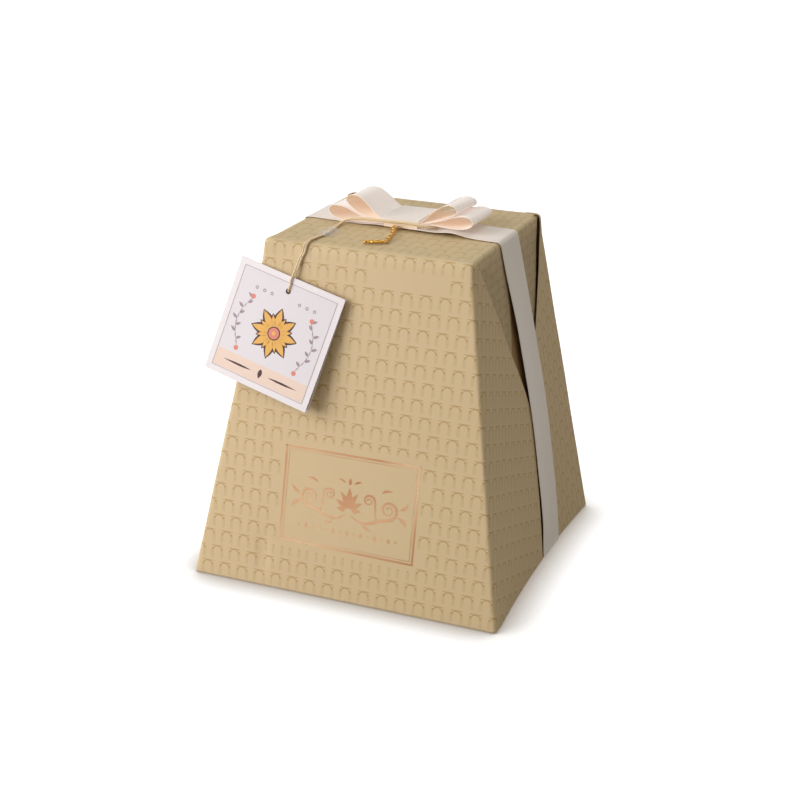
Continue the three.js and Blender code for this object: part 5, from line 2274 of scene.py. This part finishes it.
@dataclass
class GiftCord:
    """The twisted cord along the bow's front, and its two strands down to the tag."""

    shape: BoxShape
    finishes: Finishes
    tag: HangTag
    twist_radius: float = 1.15
    strand_radius: float = 0.75
    strand_apart: float = 0.72
    twist_lay: float = 2.9  # length of one turn
    strand_lay: float = 2.0
    ply: float = 0.52  # a ply's radius, as a share of the cord's
    steps: int = 10  # rings of points in one turn
    # Along the bow's front: the way above the top face, from the tucked end under the right loops.
    wound: tuple[Point, ...] = (
        (25.5, -6.5, 3.3), (23.2, -10.8, 3.3), (20.0, -14.6, 4.0), (15.3, -16.0, 5.2), (7.6, -16.2, 6.0),
        (0.0, -16.5, 6.05), (-7.0, -16.9, 5.9), (-15.2, -16.0, 5.7), (-26.7, -15.2, 5.2),
        (-35.0, -15.0, 4.4),
    )
    over_top: FlatPath = ((-43.2, -23.0), (-42.2, -34.0), (-41.4, -44.0), (-41.8, -54.0), (-43.2, -62.0))
    over_shoulder: FlatPath = ((-43.9, 20.0), (-44.6, 50.0), (-45.4, 80.0))  # x and degrees

    def join(self) -> np.ndarray:
        """Where the wound cord parts into two strands."""
        return self.shape.on_top(-40.6, -14.9, 2.9)

    def strand_start(self, side: float) -> list[np.ndarray]:
        """Leads a strand over the top face, the shoulder and the front face, down to the tag.

        Args:
            side: -1 for the front strand, 1 for the back one.

        Returns:
            The points that it passes through.
        """
        shape, shift = self.shape, side * self.strand_apart
        return [
            self.join(),
            shape.on_top(-42.6 + shift * 0.6, -18.2, 1.7),
            *(shape.on_top(x + shift, y, 1) for x, y in self.over_top),
            *(shape.on_shoulder(x + shift, degrees, 1.1) for x, degrees in self.over_shoulder),
            shape.on_front(-47 + shift, 237, 1.3),
            shape.on_front(-48.5 + shift, 231.5, 2.1),
        ]

    def twisted(
        self, mesh: Mesh, route: list[np.ndarray], radius: float, lay: float, start: float = 0.0
    ) -> None:
        """Adds two plies wound round each other along a route.

        Args:
            mesh: The mesh to add to.
            route: The points that the cord passes through.
            radius: The cord's outer radius.
            lay: The length of one turn.
            start: The angle that the first ply starts at.
        """
        line = spline(route)
        length = distances(line)[-1]
        line = evenly(line, int(length / lay * self.steps) + 2)
        first, second = carried_frames(line)
        turns = start + np.linspace(0, 2 * math.pi * length / lay, len(line))
        ply = radius * self.ply
        for half in (0.0, math.pi):
            away = first * np.cos(turns + half)[:, None] + second * np.sin(turns + half)[:, None]
            rows = tube_rows(line + away * (radius - ply), ply, 8)
            # Painted shade: the tint is set where the plies meet, and on the ends.
            share = np.linalg.norm(rows - line[:, None], axis=2) / radius
            valley = np.clip((1.0 - share) / 0.35, 0, 1)
            mesh.grid(rows, tints=valley, tube=True)
            mesh.ring_cap(rows[0], 1.0, flip=True)
            mesh.ring_cap(rows[-1], 1.0)

    def build(self) -> None:
        """Makes the cord's piece."""
        in_hole, behind = ((*self.tag.hole, out) for out in (-0.4, -2.2))
        before = ((-0.5, -2, 0.8), (-0.6, 1.7, 1.1), (-0.1, 5.9, 1), (-0.1, 9, 0.7), in_hole, behind)
        under = ((0.7, -2.5, -1.3), (0.7, 0.5, -2.1), (0.5, 5, -2.5), (0, 9, -2.6), behind)
        wound = [self.shape.on_top(*place_) for place_ in self.wound] + [self.join()]
        front = self.strand_start(-1.0) + [self.tag.at(*place_) for place_ in before]
        back = self.strand_start(1.0) + [self.tag.at(*place_) for place_ in under]
        mesh = Mesh()
        self.twisted(mesh, wound, self.twist_radius, self.twist_lay)
        self.twisted(mesh, front, self.strand_radius, self.strand_lay)
        self.twisted(mesh, back, self.strand_radius, self.strand_lay, start=1.0)
        cord = mesh.build("gift_cord_twisted", [self.finishes.cord], weld=0.0005, smooth_angle=80)
        place(cord, "gold_cord", "gift_cord")


@dataclass
class ClearSticker:
    """The round film that holds the two strands to the paper."""

    shape: BoxShape
    finishes: Finishes
    centre: Flat = (-42.2, -46.5)
    radius: float = 11.0
    thickness: float = 0.12
    low: float = 0.44  # its height above the paper beside the strands
    rise: float = 1.73  # how much higher it is over them
    rings: int = 22
    spokes: int = 72

    def build(self) -> None:
        """Makes the sticker's piece."""
        points, tints = [], []
        for i in range(self.rings + 1):
            row, row_tints = [], []
            for k in range(self.spokes):
                angle = 2 * math.pi * k / self.spokes
                reach = max(0.01, self.radius * i / self.rings)
                x = self.centre[0] + reach * math.cos(angle)
                y = self.centre[1] + reach * math.sin(angle)
                over = 1 - smoothstep(abs(x - self.centre[0]), 1.7, 7.5)
                crease = 0.10 * ripple(x, y, 2.0, 3.0) + 0.05 * math.sin(y * 1.3 + x * 0.4)
                row.append(self.shape.on_top(x, y, self.low + self.rise * over + crease * (1 - 0.5 * over)))
                # painted glints over the strands
                row_tints.append(over)
            points.append(row)
            tints.append(row_tints)
        mesh = Mesh()
        mesh.grid(np.array(points), tints=np.array(tints), tube=True)
        film = mesh.build("film_sticker", [self.finishes.film], weld=0.02)
        thicken(film, self.thickness)
        place(film, "clear_film", "clear_sticker")


# ---------------------------------------------------------------- chain and charm


@dataclass
class CharmChain:
    """The small gold chain with its charm, on a loop of cord. Places come from the frame's own nodes."""

    shape: BoxShape
    finishes: Finishes
    nodes: dict[str, bpy.types.Object]
    wire: float = 0.44
    links: int = 8
    eye_end: float = 7.8  # from the end of the charm's eye to the middle of its body
    # The charm's collar and ball, as (place along it, radius).
    turned: FlatPath = (
        (4.2, 0.7), (4.8, 1.15), (5.3, 1.25), (5.8, 1.1), (6.1, 0.72), (6.5, 0.62), (6.9, 0.66), (7.2, 1.0),
        (7.7, 1.3), (8.2, 1.35), (8.7, 1.2), (9.1, 0.85), (9.35, 0.3),
    )
    lever: tuple[Point, ...] = ((-3.4, 1.9, 0.5), (-2.2, 2.75, 0.62), (-0.6, 2.95, 0.55), (1.2, 2.55, 0.3))

    def vertices(self, node: str) -> np.ndarray:
        """A node's vertices, in millimetres."""
        return np.array([v.co for v in self.nodes[node].data.vertices]) / METRES

    def own_axes(self, node: str) -> np.ndarray:
        """Finds which way a node lies.

        Args:
            node: The node's name.

        Returns:
            Unit axes as rows: its long way, across it, and square to its plane.
        """
        co = self.vertices(node)
        axes = np.linalg.svd(co - co.mean(0), full_matrices=False)[2]
        axes[2] = np.cross(axes[0], axes[1])
        return axes

    def link(self, node: str, length: float, width: float) -> None:
        """Makes one smooth link.

        Args:
            node: The name of the node that it stands for.
            length: Its outer length.
            width: Its outer width.
        """
        run, radius = (length - width) / 2, width / 2 - self.wire
        local = []
        for end in (1, -1):
            for angle in np.linspace(-90, 90, 15):
                turn = math.radians(angle + (0 if end > 0 else 180))
                local.append((end * run + radius * math.cos(turn), radius * math.sin(turn), 0.0))
        line = evenly(np.array(local), 48, closed=True) @ self.own_axes(node) + self.vertices(node).mean(0)
        mesh = Mesh()
        mesh.tube(line, self.wire, sides=12, closed=True)
        place(mesh.build(f"{node}_gold", [self.finishes.gold], weld=0.0005), "gold_metal", node)

    def charm(self) -> None:
        """Makes the charm: a claw with an eye, an open body, a collar and a ball."""
        co = self.vertices("charm")
        middle = co.mean(0)
        along = self.own_axes("charm")[0]
        if np.dot(along, middle - self.vertices(f"chain_link_{self.links}").mean(0)) < 0:
            along = -along
        across = np.cross((0.0, 0.0, 1.0), along)
        across /= np.linalg.norm(across)
        axes = np.array((along, across, np.cross(along, across)))
        reach, rise = (co - middle) @ axes[0], (co - middle) @ axes[2]
        origin = middle + along * (reach.min() + self.eye_end) + axes[2] * (rise.max() + rise.min()) / 2

        angles = np.linspace(0, 2 * math.pi, 64, endpoint=False)
        cosine, sine, flat = np.cos(angles), np.sin(angles), 0 * angles
        body = np.stack([4.0 * cosine - 0.1, 1.75 * sine * (1 + 0.12 * cosine), flat], 1)
        eye = np.stack([1.28 * cosine - 6.1, 1.28 * sine, flat], 1)
        knots = spline(self.turned, per_span=4)
        stem = np.stack([knots[:, 0], 0 * knots[:, 0], 0 * knots[:, 0]], 1)
        lever = spline(self.lever, per_span=10)
        thin = np.linspace(1, 0, len(lever))
        mesh = Mesh()
        mesh.tube(body @ axes + origin, 0.78 + 0.30 * cosine**2, sides=14, closed=True)
        mesh.tube(eye @ axes + origin, 0.43, sides=12, closed=True)
        mesh.tube(stem @ axes + origin, np.maximum(0.05, knots[:, 1]), sides=18)
        mesh.tube(lever @ axes + origin, 0.34 + 0.2 * thin, sides=10)
        place(mesh.build("charm_gold", [self.finishes.gold], weld=0.0005), "gold_metal", "charm")
        LOG.info("the charm is %.1f mm long", np.ptp(reach))

    def loop(self, cord: GiftCord) -> None:
        """Makes the loop of cord that holds the ring.

        Args:
            cord: The cord that it is like.
        """
        top = self.shape.on_top
        ring = top(-3, -17.1, 2.3)
        start = np.array((-0.15, -0.92, -0.3))
        through = ring - start / np.linalg.norm(start) * 0.55
        route = [
            top(-2.6, -14.8, 0.9), top(-2.7, -15.8, 1.2), through, top(-1.1, -17.6, 3.6), top(0.6, -17, 2.6),
            top(2.1, -15.8, 1.8), top(2.6, -14.8, 1.6),
        ]
        mesh = Mesh()
        cord.twisted(mesh, route, 0.45, 1.6)
        piece = mesh.build("charm_loop_twisted", [self.finishes.cord], weld=0.0005, smooth_angle=80)
        place(piece, "gold_cord", "charm_loop")

    def build(self, cord: GiftCord) -> None:
        """Makes the chain's pieces.

        Args:
            cord: The cord that its loop is like.
        """
        self.loop(cord)
        self.link("chain_ring", 5.2, 5.2)
        for k in range(1, self.links + 1):
            self.link(f"chain_link_{k}", 6.5, 3.3)
        self.charm()


# ---------------------------------------------------------------- studio


@dataclass(frozen=True)
class Lamp:
    """A round soft light: its direction from the box, distance and size in metres, and power in watts."""

    name: str
    direction: Point
    distance: float
    size: float
    power: float


@dataclass
class Studio:
    """A pale floor, a soft key light from the left, a softer one overhead, surroundings and the camera."""

    lamps: tuple[Lamp, ...] = (
        Lamp("key", (-0.60, -0.62, 0.36), 1.25, 1.0, 13.3),
        Lamp("overhead", (0.05, 0.45, 0.9), 1.6, 1.2, 6.3),
    )
    lamp_colour: Colour = (1.0, 0.985, 0.985)
    ambient: float = 0.42
    ambient_colour: Colour = (1.0, 0.97, 0.87)
    backdrop: float = 1.0
    target: Point = (0.0, 0.0, 0.12)  # what the lamps are turned to
    floor_level: float = -0.0003
    floor_reach: float = 6.0
    floor_seen: Colour = (0.25, 0.25, 0.25)
    floor_lit: Colour = (0.42, 0.41, 0.39)  # what the floor gives back to the box
    # the painted shadow that the camera sees on the floor round the box
    shadow_reach: float = 0.032
    shadow_start: float = 0.56  # the openness of the floor right beside the box
    shadow_colour: Colour = (0.28, 0.235, 0.195)
    camera_place: Point = (0.38720682, -1.00690195, 0.52396209)
    camera_right: Point = (0.9293821, 0.3685402, 0.0206643)
    camera_up: Point = (-0.1497278, 0.3252291, 0.9337064)
    lens: float = 70.4995
    sensor: float = 36.0

    def camera(self) -> None:
        """Sets the camera at the photograph's place."""
        data = bpy.data.cameras.new("camera")
        data.lens = self.lens
        data.sensor_width = self.sensor
        data.clip_end = 50.0
        camera = bpy.data.objects.new("camera", data)
        right, up = Vector(self.camera_right).normalized(), Vector(self.camera_up).normalized()
        axes = Matrix((right, up, right.cross(up))).transposed().to_4x4()
        camera.matrix_world = Matrix.Translation(Vector(self.camera_place)) @ axes
        bpy.context.scene.collection.objects.link(camera)
        bpy.context.scene.camera = camera

    def lights(self) -> None:
        """Adds the lamps, turned to the middle of the box."""
        for lamp in self.lamps:
            data = bpy.data.lights.new(lamp.name, "AREA")
            data.shape = "DISK"
            data.size = lamp.size
            data.energy = lamp.power
            data.color = self.lamp_colour
            piece = bpy.data.objects.new(lamp.name, data)
            direction = Vector(lamp.direction).normalized()
            piece.location = Vector(self.target) + direction * lamp.distance
            piece.rotation_euler = direction.to_track_quat("Z", "Y").to_euler()
            bpy.context.scene.collection.objects.link(piece)

    def show(self, tree: Tree, lighting: str, seen: Socket, output: str) -> None:
        """Shows one shader to the camera and another to the rest of the scene.

        Args:
            tree: The node tree.
            lighting: The name of the node that the rest of the scene gets.
            seen: The shader that the camera gets.
            output: The name of the node that the mix goes to.
        """
        mix = tree.nodes.new("ShaderNodeMixShader")
        path = tree.nodes.new("ShaderNodeLightPath")
        tree.links.new(path.outputs["Is Camera Ray"], mix.inputs["Fac"])
        tree.links.new(tree.nodes[lighting].outputs[0], mix.inputs[1])
        tree.links.new(seen, mix.inputs[2])
        tree.links.new(mix.outputs["Shader"], tree.nodes[output].inputs["Surface"])

    def world(self) -> None:
        """Makes the surroundings: white to the camera, softer as a light."""
        world = bpy.data.worlds.new("studio")
        bpy.context.scene.world = world
        world.use_nodes = True
        tree = world.node_tree
        background = tree.nodes["Background"]
        background.inputs["Color"].default_value = (*self.ambient_colour, 1.0)
        background.inputs["Strength"].default_value = self.ambient
        bright = tree.nodes.new("ShaderNodeBackground")
        bright.inputs["Strength"].default_value = self.backdrop
        self.show(tree, "Background", bright.outputs["Background"], "World Output")

    def floor(self) -> None:
        """Lays the pale floor, which shows the camera a painted soft shadow where the box stands, from how
        open the floor is round it.
        """
        look = Shader("floor", 0.9, Specular_IOR_Level=0.0, Emission_Strength=1.0)
        look.shader.inputs["Base Color"].default_value = (*self.floor_seen, 1.0)
        # Painted shadow: the floor's glow darkens where the box closes it in.
        near = look.tree.nodes.new("ShaderNodeAmbientOcclusion")
        near.samples = 8
        near.inputs["Distance"].default_value = self.shadow_reach
        openness = Signal(look.tree, near.outputs["AO"]) - self.shadow_start
        share = openness.calculate("DIVIDE", 1 - self.shadow_start, clamp=True)
        look.feed("Emission Color", look.mix(share, self.shadow_colour, (1.0, 1.0, 1.0)))
        lit = look.tree.nodes.new("ShaderNodeBsdfDiffuse")
        lit.inputs["Color"].default_value = (*self.floor_lit, 1.0)
        self.show(look.tree, lit.name, look.shader.outputs["BSDF"], "Material Output")
        ends, level = np.array((-1.0, 1.0)) * self.floor_reach / METRES, self.floor_level / METRES
        mesh = Mesh()
        mesh.grid(np.array([[(x, y, level) for x in ends] for y in ends]))
        floor = mesh.build("floor", [look.material])

    def build(self) -> None:
        """Sets up the whole studio."""
        bpy.context.scene.view_settings.view_transform = "Standard"
        self.camera()
        self.lights()
        self.world()
        self.floor()
        LOG.info("studio: camera, %d lamps, surroundings and floor", len(self.lamps))


# ---------------------------------------------------------------- the whole


# The front rims of the bow's two rings of ribbon, as (x, height above the top face).
LOWER_RIM: FlatPath = (
    (0, 2.75), (13, 2.85), (18, 4.5), (23, 5.6), (29, 5.2), (38, 4.7), (46, 5.3), (50.9, 7.2), (52.3, 9.9),
    (50.6, 12.5), (45.5, 13.6), (38, 12.1), (30.5, 9.3), (21, 6.5), (13, 4), (0, 3.7), (-13, 3.75),
    (-21, 4.4), (-28.7, 5.6), (-36, 8.2), (-43.5, 11), (-49, 11.8), (-53.6, 10.9), (-55.3, 8.3),
    (-53.6, 5.4), (-49, 3), (-43.4, 1.9), (-30, 2.05), (-13, 2.75),
)
UPPER_RIM: FlatPath = (
    (0, 4.65), (13, 4.95), (18, 6.5), (21.5, 7.6), (29, 9.9), (36.2, 12.9), (39.6, 15), (40.4, 17.3),
    (38.6, 19.6), (34.1, 20.4), (28.5, 18.2), (21, 12.6), (16.8, 8.4), (13.6, 6), (10, 5.6), (0, 5.6),
    (-11, 5.6), (-15.2, 6), (-18.8, 8.4), (-23.4, 12.5), (-27, 15.7), (-31.3, 19), (-36.2, 20.3),
    (-40.3, 19.2), (-41.8, 16.8), (-40, 13.9), (-36, 10.8), (-28.7, 7.3), (-20, 5.6), (-13, 4.75),
)


def main() -> None:
    """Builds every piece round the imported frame."""
    logging.basicConfig(level=logging.INFO, format="%(name)s: %(message)s")
    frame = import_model()
    shape = BoxShape()
    Studio().build()
    finishes = Finishes()
    box = WrappedBox(shape, finishes)
    box.build()
    FoilPanel(shape, finishes, box.front_lift).build()
    RibbonBand(shape, finishes).build()
    BowTier(shape, finishes, "bow_lower_tier", LOWER_RIM).build()
    BowTier(shape, finishes, "bow_upper_tier", UPPER_RIM).build()
    BowWrap(shape, finishes).build()
    tag = HangTag(shape, finishes)
    tag.build()
    cord = GiftCord(shape, finishes, tag)
    cord.build()
    ClearSticker(shape, finishes).build()
    CharmChain(shape, finishes, frame["nodes"]).build(cord)
    LOG.info("all pieces are in place")


if __name__ == "__main__":
    main()
